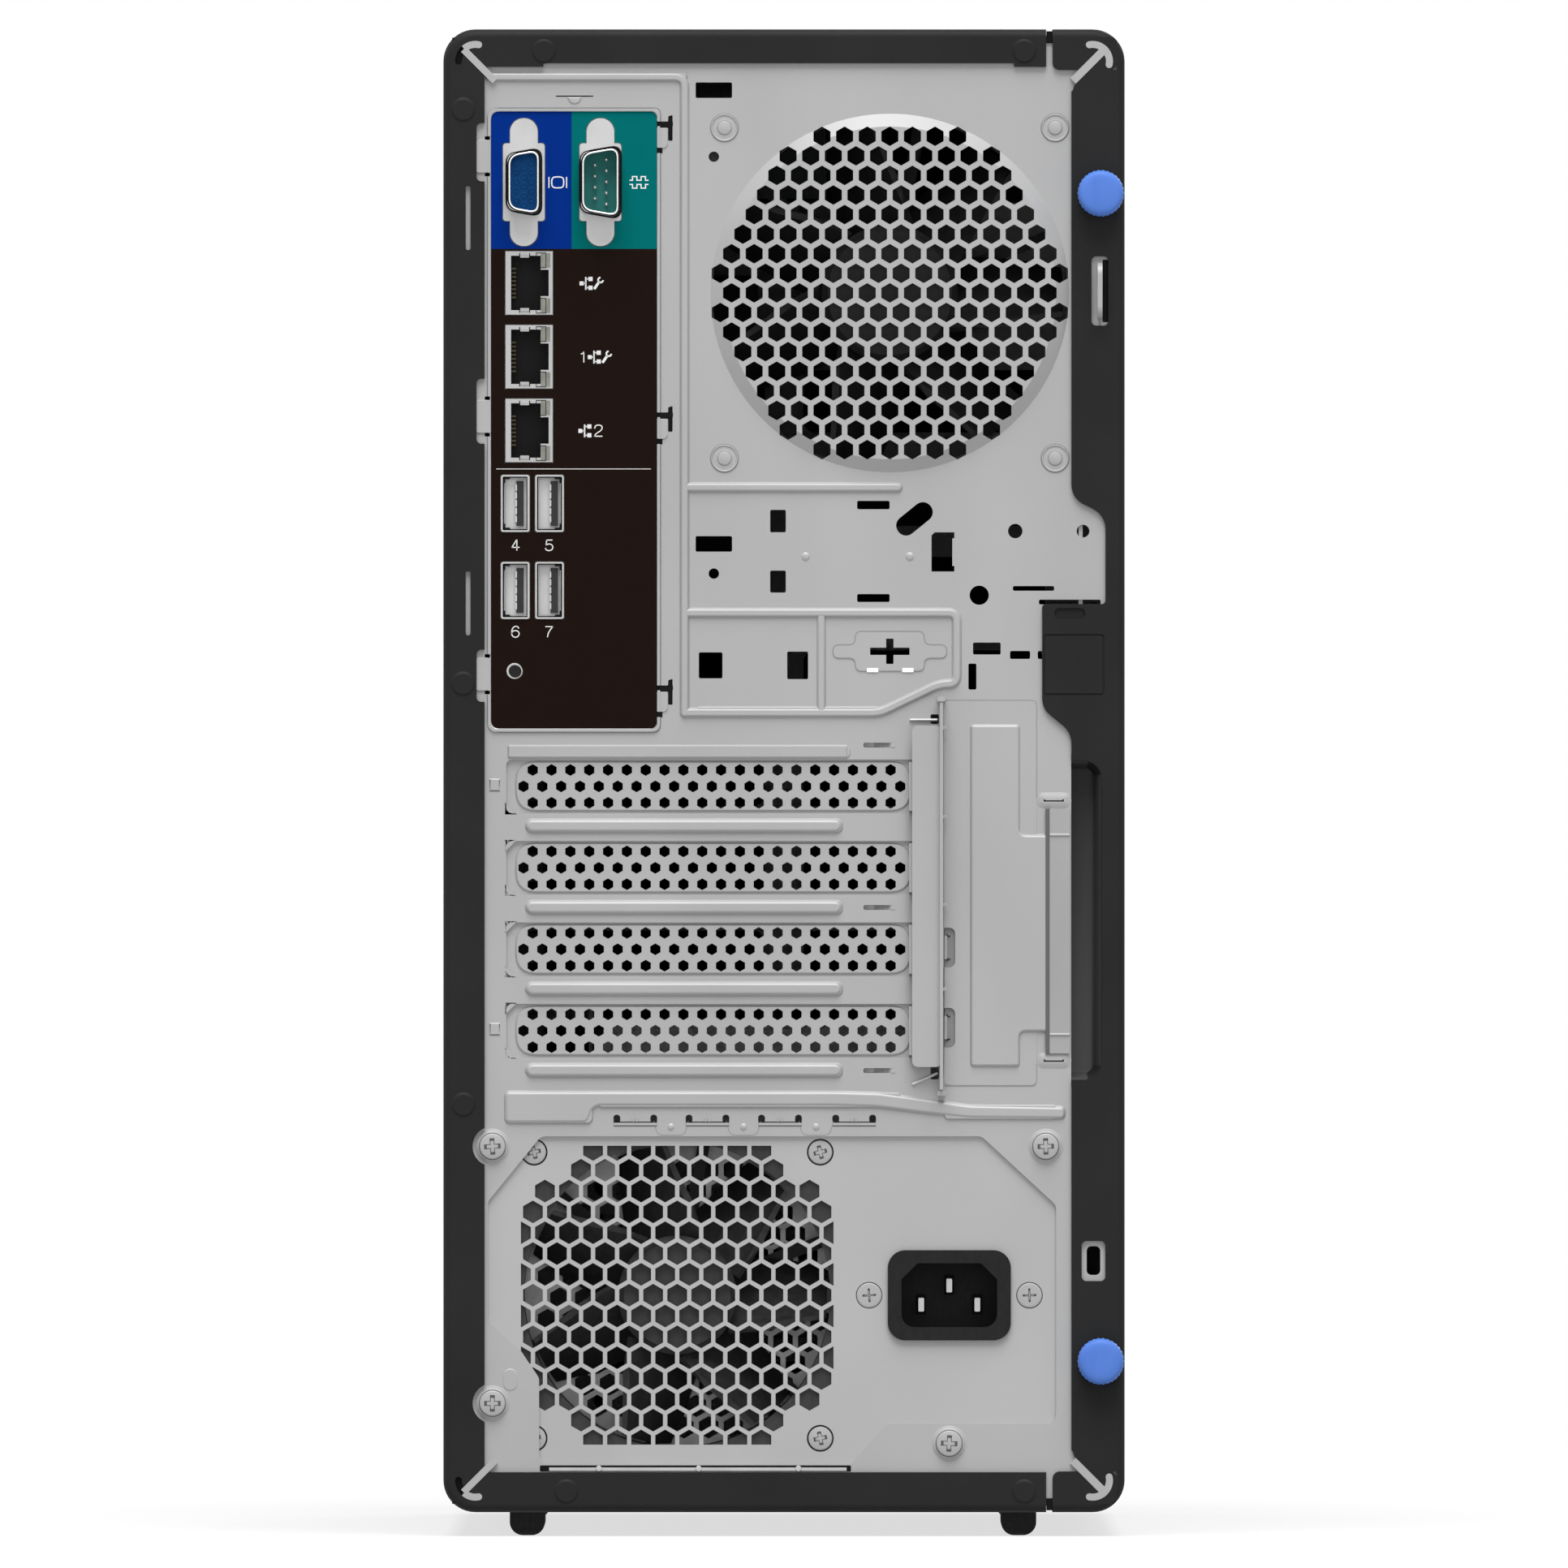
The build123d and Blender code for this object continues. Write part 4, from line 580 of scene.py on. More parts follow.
# Generic figures for the port numbers: strokes in units of the figure's height.
FIGURES = {
    "1": [[(-0.16, 0.29), (0.0, 0.34), (0.08, 0.5), (0.08, -0.5)]],
    "2": [[(-0.28, 0.2), (-0.25, 0.4), (-0.1, 0.5), (0.1, 0.5), (0.27, 0.4), (0.28, 0.2), (0.18, 0.02),
           (-0.05, -0.14), (-0.25, -0.32), (-0.3, -0.5)], [(-0.34, -0.46), (0.3, -0.46)]],
    "4": [[(0.32, -0.2), (-0.31, -0.2)], [(-0.29, -0.22), (0.1, 0.5)], [(0.11, 0.52), (0.11, -0.5)]],
    "5": [[(0.26, 0.46), (-0.2, 0.46)], [(-0.18, 0.5), (-0.25, -0.04)],
          [(-0.26, -0.02), (-0.1, 0.1), (0.1, 0.1), (0.25, 0.0), (0.3, -0.19), (0.25, -0.38), (0.1, -0.5),
           (-0.1, -0.5), (-0.25, -0.41), (-0.3, -0.27)]],
    "6": [[(0.27, 0.28), (0.2, 0.44), (0.04, 0.5), (-0.14, 0.43), (-0.26, 0.24), (-0.3, -0.02),
           (-0.3, -0.2)],
          [(-0.3, -0.19), (-0.24, 0.02), (-0.1, 0.1), (0.1, 0.1), (0.25, 0.0), (0.3, -0.19), (0.25, -0.38),
           (0.1, -0.5), (-0.1, -0.5), (-0.25, -0.38), (-0.3, -0.19)]],
    "7": [[(-0.3, 0.46), (0.3, 0.46)], [(0.29, 0.46), (0.08, 0.16), (-0.08, -0.18), (-0.13, -0.5)]],
}


# Settings

def colour(name, description, default):
    """A colour setting: an sRGB hex value."""
    return StringProperty(name=name, description=f"{description}, sRGB hex", default=default)


def span(name, description, default):
    """A length setting in metres."""
    return FloatProperty(name=name, description=description, default=default, unit="LENGTH")


class ServerColours(bpy.types.PropertyGroup):
    """Colours of the finishes"""
    paint: colour("Paint", "Powder coat", "#212121")
    paint_light: colour("Paint light", "Lighter drift of the paint", "#262626")
    steel: colour("Sheet", "Zinc-plated sheet", "#B0B0B0")
    steel_light: colour("Sheet light", "Lighter drift of the sheet", "#B5B5B5")
    # These two colours, labelled sheared edge, are the darker grey of painted shade at creases, steps and
    # gaps.
    edge: colour("Sheared edge", "Cut edges of the sheet", "#888888")
    crease_shade_light: colour("Sheared edge light", "Lighter drift of the edges", "#949494")
    # The groove colour is a darker grey of painted shade, in the handle's groove and in the screws' crosses.
    groove: colour("Groove", "Folded groove of the handle", "#656565")
    strip: colour("Strip", "Darker end of the handle's strip", "#A2A2A2")
    supply: colour("Supply case", "Power supply's sheet", "#B4B4B4")
    supply_light: colour("Supply case light", "Lighter drift of the supply's sheet", "#BABABA")
    knob: colour("Knob", "Thumbscrew blue", "#5682DB")
    knob_light: colour("Knob light", "Lighter drift of the knob", "#5D88E1")
    ink_blue: colour("Blue ink", "Field of the picture port", "#03308A")
    ink_teal: colour("Teal ink", "Field of the serial port", "#007070")
    ink_dark: colour("Dark ink", "Field of the other ports", "#1E1410")


class ServerSizes(bpy.types.PropertyGroup):
    """Sizes of the modelled details"""
    slot_pitch: span("Slot pitch", "From one expansion slot to the next", 0.02032)
    hole_flat: span("Cover hole", "Hexagon size across its flats", 0.00256)
    hole_pitch: span("Cover hole pitch", "From one hole to the next in a row", 0.0047)
    bead_rise: span("Bead rise", "How far pressed beads stand out", 0.00075)
    knob_radius: span("Knob radius", "Radius of the thumbscrew knobs", 0.00587)
    knob_ribs: IntProperty(name="Knob ribs", description="Grip ribs round a knob", default=30)


class ServerStage(bpy.types.PropertyGroup):
    """Camera, background and lamps"""
    lens: FloatProperty(name="Lens", description="Focal length of the camera in millimetres", default=900.0)
    frame_width: span("Frame width", "Width seen at the rear panel", 0.3912)
    aim_height: span("Aim height", "Height of the picture's centre", 0.1877)
    sky: FloatVectorProperty(name="Background", description="Colour behind the object", size=3,
                             subtype="COLOR", default=(1.0, 1.0, 1.0))
    ambient: FloatProperty(name="Ambient", description="Strength of the light from all round", default=0.2)
    key: FloatProperty(name="Key light", description="Power of the high soft lamp in watts", default=445.0)
    fill: FloatProperty(name="Fill light", description="Power of the low soft lamps in watts", default=8.0)


# Pieces

class SERVER_OT_finishes(bpy.types.Operator):
    """Give every solid that stays its finish"""
    bl_idname = "server.finishes"
    bl_label = "Finish the solids"

    def execute(self, context):
        for key, nodes in CARRIED.items():
            for name in nodes:
                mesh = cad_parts[name].data
                mesh.materials.clear()
                mesh.materials.append(finish(key))
        return {"FINISHED"}


class SERVER_OT_slot_covers(bpy.types.Operator):
    """Perforated plates of the expansion slots"""
    bl_idname = "server.slot_covers"
    bl_label = "Slot covers"

    def execute(self, context):
        sizes = context.scene.server_sizes
        corner, pitch = sizes.hole_flat / MM / math.sqrt(3), sizes.hole_pitch / MM
        rise, far = 0.55, SUPPLY + 0.8
        for n in range(4):
            low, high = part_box(f"slot_cover_{n + 1}")
            mid = (low.z + high.z) / 2
            holes = []
            for row, (start, count) in enumerate(((22.3, 20), (20.0, 21), (22.3, 20))):
                z = mid + (1 - row) * 4.09 * MM
                holes += [ring_loop((LEFT + (start + k * pitch) * MM, z), corner, 6, math.pi / 6)
                          for k in range(count)]
            middle = (LEFT + 67.35 * MM, mid)
            foot, crown = box_loop(middle, 99.0, 12.7, 5.2), box_loop(middle, 97.9, 11.6, 4.6)
            pocket = plate(crown, SUPPLY - rise, SUPPLY + 0.25, holes)
            edge = box_loop(((low.x + high.x) / 2, mid), (high.x - low.x) / MM, 18.4, 2.0)
            lap = plate(edge, SUPPLY, far, [foot])
            tab = slab((high.x - 0.4 * MM, mid), 0.8, 12.0, depth_of(low.y), far, bevel=0.1)
            # The pocket's drawn edge is a soft S between two loops that have the same number of points.
            step = [[spot(a * (1 - t) + b * t, (0, 0), 0, SUPPLY - lift * rise) for a, b in zip(foot, crown)]
                    for t, lift in ((0, 0), (0.3, 0.25), (0.7, 0.8), (1.0, 1.0))]
            piece = dress([pocket, lap, tab, outwards(skinned(step, 60), 0)],
                          f"perforated_cover_{n + 1}", "sheet")
            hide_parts(f"slot_cover_{n + 1}")
        return {"FINISHED"}


class SERVER_OT_beads(bpy.types.Operator):
    """Pressed beads and raised fields of the rear panel"""
    bl_idname = "server.beads"
    bl_label = "Panel beads"

    def execute(self, context):
        rise = context.scene.server_sizes.bead_rise / MM
        pitch = context.scene.server_sizes.slot_pitch / MM
        # Each bead's path, width, corner radius and share of the rise: crossing beads differ in height.
        for name, path, width, radius, share in (
                ("corner_bead", [(11.6, 11.9), (60.2, 11.9), (60.2, 170.6)], 2.6, 2.6, 1.2),
                ("fan_foot_bead", [(60.4, 114.3), (113.4, 114.3)], 2.7, 1.5, 1.12),
                ("bay_frame_bead", [(60.4, 145.6), (128.1, 145.6), (128.1, 163.3), (123.8, 163.4),
                                    (109.0, 170.5), (60.2, 170.5)], 2.7, 2.2, 1.16),
                ("bay_divider_bead", [(94.3, 145.6), (94.3, 170.5)], 2.5, 1.0, 1.08)):
            outline = stroke_loop([upper(*point) for point in path], width, radius)
            dress(pressed(outline, rise * share, width * 0.32, 0), name, "bead")
        ribs = [pressed(stroke_loop([upper(22.2, drop), upper(97.8, drop)], 4.0), rise * 1.4, 1.2, 0)
                for drop in (SLOT_DROP + (n + 0.5) * pitch - 0.3 for n in range(4))]
        dress(ribs, "slot_ribs", "bead")
        strip = [lower(*point) for point in (
            (15.1, 105.3), (98.0, 105.3), (109.0, 105.0), (121.0, 103.4), (131.0, 101.9), (155.4, 101.5),
            (155.4, 97.8), (131.0, 98.0), (120.0, 99.2), (108.0, 100.7), (97.0, 101.0), (37.8, 101.0),
            (36.2, 96.8), (15.1, 96.8))]
        field = [upper(*point) for point in (
            (131.2, 173.2), (144.1, 173.2), (144.1, 200.7), (156.4, 200.7), (156.4, 250.4), (144.1, 250.4),
            (144.1, 259.1), (131.2, 259.1))]
        roof = [upper(*point) for point in ((16.2, 178.6), (101.6, 178.6), (101.6, 182.0), (16.2, 182.0))]
        field_rise = rise * 1.15
        for name, loop, height, slope, radius in (("long_bead", strip, field_rise, 1.1, 1.6),
                                                  ("handle_field", field, field_rise, 0.95, 1.3),
                                                  ("slot_roof_field", roof, rise * 0.45, 0.3, 1.6)):
            dress(pressed(loop, height, slope, radius), name, "bead")
        pills = [pressed(box_loop(upper(152.3, drop), 8.8, 4.4), rise * 0.5, 2.0, 2.1)
                 for drop in (192.4, 257.3)]
        dress(pills, "handle_pills", "bead")
        # The groove is a darker strip: painted shade.
        dress(slab(upper(150.75, HANDLE_DROP), 1.05, HANDLE_LENGTH, -field_rise - 0.05, 0),
              "handle_groove", "groove")
        strip_top = -field_rise - 0.03
        dress(slab(upper(153.8, HANDLE_DROP), 5.0, HANDLE_LENGTH, strip_top, 0, 0.3, 0.02),
              "handle_strip", "strip")
        dress([tube([upper(151.3, drop), upper(156.2, drop)], 0.36, strip_top, False)
               for drop in (201.0, 250.8)], "handle_steps", "bead")
        dimples = [pressed(ring_loop(upper(a, 131.6), 1.2, 24), 0.32, 0.9, 0) for a in (90.4, 116.4)]
        dimples += [pressed(ring_loop(lower(a, 96.1), 1.0, 24), 0.3, 0.8, 0) for a in SUPPLY_DIMPLES]
        dress(dimples, "weld_dimples", "bead")
        return {"FINISHED"}


class SERVER_OT_panel_details(bpy.types.Operator):
    """Knock-out, pads, lances, small tabs and clips of the rear panel"""
    bl_idname = "server.panel_details"
    bl_label = "Panel details"

    def execute(self, context):
        creases = self.knockout() + self.handle_pad()
        self.slot_marks(context.scene.server_sizes.slot_pitch / MM)
        creases += self.supply_tabs() + self.hooks()
        # The creases are darker grey lines laid along the pressed forms' edges: painted shade.
        dress(creases, "panel_creases", "crease")
        self.shield_side()
        self.supply_lip()
        return {"FINISHED"}

    def knockout(self):
        """The knock-out for another port; returns its crease."""
        outline = rounded([upper(*point) for point in (
            (97.2, 153.55), (102.8, 153.55), (102.8, 150.2), (120.0, 150.2), (120.0, 153.55),
            (125.6, 153.55), (125.6, 156.85), (120.0, 156.85), (120.0, 160.1), (102.8, 160.1),
            (102.8, 156.85), (97.2, 156.85))], 1.6)
        arm, wide, high = 0.95, 4.95, 3.2
        cross = [upper(111.4 + u, 155.2 - v) for u, v in (
            (-wide, arm), (-arm, arm), (-arm, high), (arm, high), (arm, arm), (wide, arm),
            (wide, -arm), (arm, -arm), (arm, -high), (-arm, -high), (-arm, -arm), (-wide, -arm))]
        dress(plate(outline, -0.16, 0.02, [cross], 0.04), "port_knockout", "sheet")
        # The bridges' near-white is partly a painted highlight.
        dress([slab(upper(a, 159.9), 2.8, 1.0, -0.3, 0) for a in (107.1, 115.9)], "knockout_bridges",
              "bright_rim")
        return [ribbon(outline, 0.2, -0.2, closed=True)]

    def handle_pad(self):
        """The lapped pad round the retainer's windows, and the clips in them; returns its creases."""
        left, right, top, foot = 124.9, 148.0, 167.5, 263.4
        window = 125.85
        pad = [upper(left, top), upper(right, top), upper(right, foot), upper(left, foot)]
        holes = [box_loop(upper(window, drop), 3.7, 9.9, 1.6) for drop in WINDOWS]
        # Darker plates on the windows' floors: painted shade in the pockets.
        dress([slab(upper(window, drop), 3.6, 9.8, 0.6, 0.68, 1.5) for drop in WINDOWS],
              "pocket_floors", "crease")
        dress(plate(rounded(pad, 1.4), -0.14, 0.02, holes, 0.05), "handle_pad", "sheet")
        dress([slab(upper(125.05, drop), 1.2, 5.7, -0.05, 0.6, 0.1, 0.06)
               for drop in WINDOWS], "retainer_clips", "sheet")
        shadows = []
        for drop in WINDOWS:
            for side in (-1, 1):
                z = drop + side * 2.85
                path = [upper(125.75, z + side * 0.55), upper(125.75, z), upper(126.5, z)]
                shadows.append(ribbon(path, 0.2, 0.3, 0.68))
        dress(shadows, "clip_shadows", "black_and_shadow")
        return [ribbon([upper(*point) for point in path], 0.16, -0.16, radius=1.4) for path in (
            ((left, top - 0.1), (right, top - 0.1), (right, 191.6)),
            ((right, 258.2), (right, foot + 0.1), (left, foot + 0.1)))]

    def slot_marks(self, pitch):
        """Lances and corners beside the slots, and the gauge marks."""
        # Half-lanced tongues: steps that sink into the sheet, the middle ones in a darker grey as painted
        # shade.
        lances, shades = [], []
        for drop in (178.6, 219.1, 259.8):
            for k in range(6):
                depth = 1.5 - 0.22 * k
                (shades if 1 < k < 5 else lances).append(
                    slab(upper(105.6 + 1.25 * k, drop), 1.26, 1.2, depth, depth + 0.3))
            lances.append(slab(upper(112.2, drop), 1.1, 1.1, -0.12, 0, 0.1))
        dress(lances, "slot_lances", "bead")
        dress(shades, "lance_shades", "crease")
        corners = []
        for n in range(4):
            for side in (-1, 1) if n else (1,):
                edge = SLOT_DROP + n * pitch + side * 7.0
                corners.append(plate([upper(15.4, edge), upper(18.4, edge), upper(15.4, edge - side * 3.0)],
                                     0, 0.9))
        dress(corners, "slot_corners", "sheet")
        marks = [pressed(box_loop(upper(12.85, drop), 2.9, 3.3), 0.16, 0.35, 0.2) for drop in (188.6, 249.5)]
        marks.append(pressed(stroke_loop([upper(16.7, 336.0), upper(16.7, 337.9)], 3.8), 0.14, 0.4, 0))
        dress(marks, "gauge_marks", "sheet")

    def supply_tabs(self):
        """Tabs where the supply's case meets the panel, with dark slits; returns the dimples' creases."""
        bars, slits = [], []
        for a in SUPPLY_TABS:
            bars.append(slab(lower(a, 96.85), 10.6, 0.55, -0.22, 0, bevel=0.06))
            bars += [slab(lower(a + side * 0.5, 98.0), 0.3, 1.1, -0.4, 0, 0.1, 0.08)
                     for side in (-1, 1)]
            # The slits are black plates: painted shadow.
            slits += [slab(lower(a, h), 10.8, deep, -0.03, 0)
                      for h, deep in ((97.3, 0.32), (96.42, 0.18))]
        dress(bars, "supply_tabs", "bead")
        dress(slits, "supply_tab_slits", "black_and_shadow")
        return [ribbon([lower(a - 4.3, 97.6), lower(a - 3.4, 94.1), lower(a + 3.4, 94.1),
                        lower(a + 4.3, 97.6)], 0.14, -0.05, radius=1.4) for a in SUPPLY_DIMPLES]

    def hooks(self):
        """Hooks of the connector plate in their black gaps; returns the creases of its left tabs."""
        gaps, hooks = [], []
        for drop in HOOKS:
            gap = ((53.2, 1.2), (56.1, 1.2), (56.1, -0.1), (57.2, -0.4), (57.2, 6.0), (56.1, 6.0),
                   (56.1, 2.8), (53.2, 2.8))
            gaps.append(plate(rounded([upper(a, drop + b) for a, b in gap], 0.3), -0.04, 0))
            gaps.append(slab(upper(53.9, drop + 8.45), 1.6, 1.4, -0.04, 0))
            # A light tab fills the corner of the gap.
            tab = ((53.4, 2.9), (55.9, 2.9), (55.9, 7.0), (55.2, 7.7), (53.4, 7.7))
            hooks.append(plate(rounded([upper(a, drop + b) for a, b in tab], 0.2), -0.3, 0, bevel=0.1))
        # The gaps are black plates on the panel: painted shadow.
        dress(gaps, "hook_gaps", "black_and_shadow")
        dress(hooks, "hook_tabs", "bead")
        return [ribbon([upper(8.2, mid - 4.1), upper(8.2, mid + 4.1)], 0.22, -0.6) for mid in SIDE_TABS]

    def shield_side(self):
        """The notch above the connector plate and the tabs at its left."""
        notch = [upper(32.75 + 1.9 * math.cos(t), 16.9 + 1.9 * math.sin(t))
                 for t in (math.pi * k / 16 for k in range(17))]
        dress(pressed(notch, 0.3, 0.5, 0), "shield_notch", "bead")
        dress([slab(upper(9.75, mid), 2.9, 8.0, -0.55, 0, 0.5, 0.12) for mid in SIDE_TABS],
              "shield_tabs", "bead")

    def supply_lip(self):
        """The lip under the supply's vents, with its studs, in a dark slit."""
        lip = [slab(lower(63.5, 10.75), 74.1, 0.75, -0.3, -0.05, bevel=0.05)]
        lip += [plate(ring_loop(lower(a, 10.9), 0.62, 16), -0.62, -0.05, bevel=0.15)
                for a in (38.8, 63.7, 88.6)]
        dress(lip, "supply_lip", "nickel")
        # The slit is a black plate: painted shadow.
        dress(slab(lower(62.9, 10.95), 77.6, 1.5, -0.09, 0, 0.3), "supply_slit", "black_and_shadow")


class SERVER_OT_retainer_details(bpy.types.Operator):
    """Tabs beside the card retainer's fin, and the spring wires that end at the panel"""
    bl_idname = "server.retainer_details"
    bl_label = "Retainer details"

    def execute(self, context):
        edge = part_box("card_retainer")[1].x + 0.15 * MM
        dress([slab((edge, TOP - drop * MM), 1.3, 0.7, -2.8, -1.8, 0.25, 0.1)
               for drop in (174.4, 196.5, 218.5, 239.5)], "fin_tabs", "sheet")
        dress([tube([upper(*point) for point in path], radius, -0.4, False) for radius, path in (
            (0.35, ((116.4, 172.3), (120.0, 172.3), (123.3, 172.3))),
            (0.38, ((117.0, 263.2), (120.0, 261.9), (123.3, 260.4))))], "retainer_springs", "nickel")
        return {"FINISHED"}


class SERVER_OT_flange_details(bpy.types.Operator):
    """What shows through the openings of the painted flanges"""
    bl_idname = "server.flange_details"
    bl_label = "Flange openings"

    def execute(self, context):
        # Black plates in the seams and behind the corner slits: painted shadow.
        seams = [slab(place(151.25, 2.0), 1.6, 3.0, FLANGE + 0.7, -0.05) for place in (upper, lower)]
        seams.append(slab(upper(165.2, 65.3), 1.5, 15.6, -0.02, 0.05, 0.2))
        seams += [slab(place(3.9, 6.6), 3.4, 9.0, FLANGE + 1.02, -0.02) for place in (upper, lower)]
        dress(seams, "flange_gaps", "black_and_shadow")
        # The panel shows through each corner's anchor-shaped slit: an arc with round ends, and a shaft that
        # slants inwards. On the left the outer half of the arc stays open. The parts of an anchor lie a
        # little apart in depth, so that no two faces fall together.
        radius, width, inset = 4.2, 1.72, 8.0
        arrows = []
        for sx in (-1, 1):
            begin, tail, shaft_width = (0.84, 2.95, width) if sx < 0 else (-0.2, 3.3, 1.95)
            turns = [begin + (1.77 - begin) * k / 12 for k in range(13)]
            for sz in (-1, 1):
                centre = (sx * 77.0 * MM, (TOP + UNDER) / 2 + sz * ((TOP - UNDER) / 2 - inset * MM))
                head = [(centre[0] + sx * radius * MM * math.cos(t),
                         centre[1] + sz * radius * MM * math.sin(t)) for t in turns]
                shaft = [(centre[0] + sx * r * MM, centre[1] + sz * r * MM) for r in (-4.9, tail)]
                arrows.append(ribbon(head, width, FLANGE - 0.05))
                arrows.append(ribbon(shaft, shaft_width, FLANGE - 0.07))
                arrows += [plate(ring_loop(end, width / 2, 24), FLANGE - 0.06, 0)
                           for end in ((head[-1], head[0]) if sx > 0 else (head[-1],))]
        dress(arrows, "corner_arrows", "sheet")
        # A moulded liner follows the finger grip's pocket, which is open towards the panel. Its grey, lighter
        # than the cover's paint, is painted light against the pocket's shade.
        left, right, top, foot = 156.75, 164.2, 182.5, 262.1
        line = rounded([upper(left, top), upper(right, top), upper(right, foot), upper(left, foot)], 4.9, 8,
                       False)
        rows = [[spot(p, side, -share * inset, FLANGE + deep) for p, (side, share) in
                 zip(line, ways(line, False))]
                for inset, deep in ((0.0, 0.1), (0.35, 1.2), (0.8, 3.3), (1.25, 5.6), (1.65, 7.3),
                                    (1.95, 8.2), (2.3, 8.5))]
        dress(skinned(rows, 60, ring=False, caps=(-1,)), "grip_liner", "grip", "cover")
        return {"FINISHED"}


class SERVER_OT_rivets(bpy.types.Operator):
    """Dished rivets that hold the rear fan"""
    bl_idname = "server.rivets"
    bl_label = "Fan rivets"

    def execute(self, context):
        low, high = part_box("fan_rivets")
        r = 3.44 * MM
        places = [(x, z) for x in (low.x + r, high.x - r) for z in (low.z + r, high.z - r)]
        profile = [(0, -0.3), (1.45, -0.3), (1.62, -0.24), (1.7, -0.08), (1.78, -0.04), (2.95, -0.04),
                   (3.05, -0.16), (3.15, -0.3), (3.28, -0.32), (3.4, -0.22), (3.44, -0.08), (3.44, 0.02),
                   (2.06, 0.02), (2.06, 9.0), (0, 9.0)]
        piece = dress([turned(profile, place) for place in places], "rivet_heads", "sheet")
        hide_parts("fan_rivets")
        # Thin darker rings at the rivets' steps: painted shade.
        dress([washer(place, outer, outer - 0.16, -0.07, 0) for place in places for outer in (1.86, 3.62)],
              "rivet_lines", "crease")
        return {"FINISHED"}


class SERVER_OT_ports(bpy.types.Operator):
    """Bright rims, shadow gaps, socket faces and liners of the ports"""
    bl_idname = "server.ports"
    bl_label = "Port details"

    def execute(self, context):
        self.d_ports()
        self.jacks()
        self.usb_ports()
        dress(washer(upper(17.76, 160.1), 1.93, 1.5, FOIL - 0.12, FOIL + 0.02, 48, 0.04), "id_ring",
              "nickel")
        self.rim()
        return {"FINISHED"}

    def d_ports(self):
        """The two D-shaped ports: bright rims, black gaps, the picture port's holes, the serial pins."""
        picture, serial = upper(20.1, PORT_DROP), upper(39.2, PORT_DROP)
        front, core = FLANGE - 5.4, FLANGE - 4.45
        dress(plate(d_loop(picture, 6.9, 15.2, 2.2), core, core + 0.07), "picture_port_face", "vga")
        rims, gaps = [], []
        for centre, w, h in ((picture, 8.1, 16.5), (serial, 9.6, 17.8)):
            rims.append(tube(d_loop(centre, w - 1.0, h - 1.0, 2.4), 0.24, front + 0.06))
            for outer, inner, radius, bore, near, far in (
                    (0.04, -0.56, 2.6, 2.4, front - 0.04, front + 0.3), (1.1, 0.02, 3.0, 2.6, -0.46, -0.36)):
                gaps.append(plate(d_loop(centre, w + outer, h + outer, radius), near, far,
                                  [d_loop(centre, w + inner, h + inner, bore)]))
        # The rims' near-white is partly a painted highlight, and the black rings round them are painted
        # shadow.
        dress(rims, "port_rims", "bright_rim")
        dress(gaps, "port_gaps", "black_and_shadow")
        rings = [(0, -0.03), (0.34, -0.03), (0.5, -0.1), (0.66, -0.12), (0.8, -0.02), (0.8, 0.05), (0, 0.05)]
        dress([turned(rings, upper(a, 33.4 + shift + 2.33 * row), core, 24)
               for shift, a in ((0.0, 18.35), (1.15, 20.2), (0.0, 22.0)) for row in range(5)],
              "picture_port_sockets", "vga")
        # Serial pins, turned down to a fine tip.
        near = depth_of(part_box("serial_pins")[0].y)
        tip = [(0, 0.0), (0.12, 0.02), (0.24, 0.16), (0.3, 0.5), (0.34, 1.4), (0.5, 1.9), (0.5, 5.2),
               (0, 5.2)]
        pins = [turned(tip, upper(a, PORT_DROP + (k - (count - 1) / 2) * 2.77), near, 20)
                for a, count in ((37.85, 4), (40.7, 5)) for k in range(count)]
        # The pins' near-white is partly a painted highlight.
        piece = dress(pins, "turned_serial_pins", "bright_rim")
        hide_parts("serial_pins")

    def jacks(self):
        """Springs above and below each network jack, and the gaps round its lamps."""
        springs, notches, lamps = [], [], []
        for drop in JACKS:
            for side in (-1, 1):
                z = drop + side * 6.95
                springs.append(slab(upper(20.3, z - side * 0.25), 2.1, 0.7, -0.62, -0.3, 0.15, 0.08))
                notches += [slab(upper(20.3 + end * 1.25, z + side * 0.05), 0.24, 0.85, -0.36, -0.3)
                            for end in (-1, 1)]
                lamps.append(ribbon(box_loop(upper(24.4, drop + side * 5.65), 2.4, 3.7), 0.16, -0.44, -0.3,
                                    closed=True))
        dress(springs, "jack_springs", "sheet")
        # The notches and the lamps' gaps are black: painted shadow.
        dress(notches, "jack_notches", "black_and_shadow")
        dress(lamps, "lamp_gaps", "black_and_shadow")

    def usb_ports(self):
        """Liners, drawn edges, corner notches and contacts of the four USB ports."""
        liners, edges, corners, contacts = [], [], [], []
        for a, shift, side in ((17.95, 0.3, -1), (26.5, 0.0, 1)):
            for drop in (118.3, 140.0):
                liners.append(slab(upper(a, drop), 5.5, 12.7, 1.8, 2.3, 0.3, 0.1))
                edges.append(ribbon(box_loop(upper(a + shift, drop), 5.5, 12.6), 0.18, -0.2, 0.8,
                                    closed=True))
                for end in (-1, 1):
                    u, v = a + side * 2.7, drop + end * 6.25
                    corners.append(ribbon([upper(u, v - end * 1.2), upper(u, v), upper(u - side * 1.4, v)],
                                          0.42, -0.24, 0.1))
                contacts += [slab(upper(a + 0.22, drop + 1.96 * k), 0.34, 1.5, 0.5, 4.0, 0.1, 0.05)
                             for k in range(-2, 3)]
        dress(liners, "usb_liners", "nickel")
        # The edges are darker grey lines and the corners black ones: painted shade round the ports.
        dress(edges, "usb_edges", "crease")
        dress(corners, "usb_corners", "black_and_shadow")
        dress(contacts, "usb_contacts", "nickel")

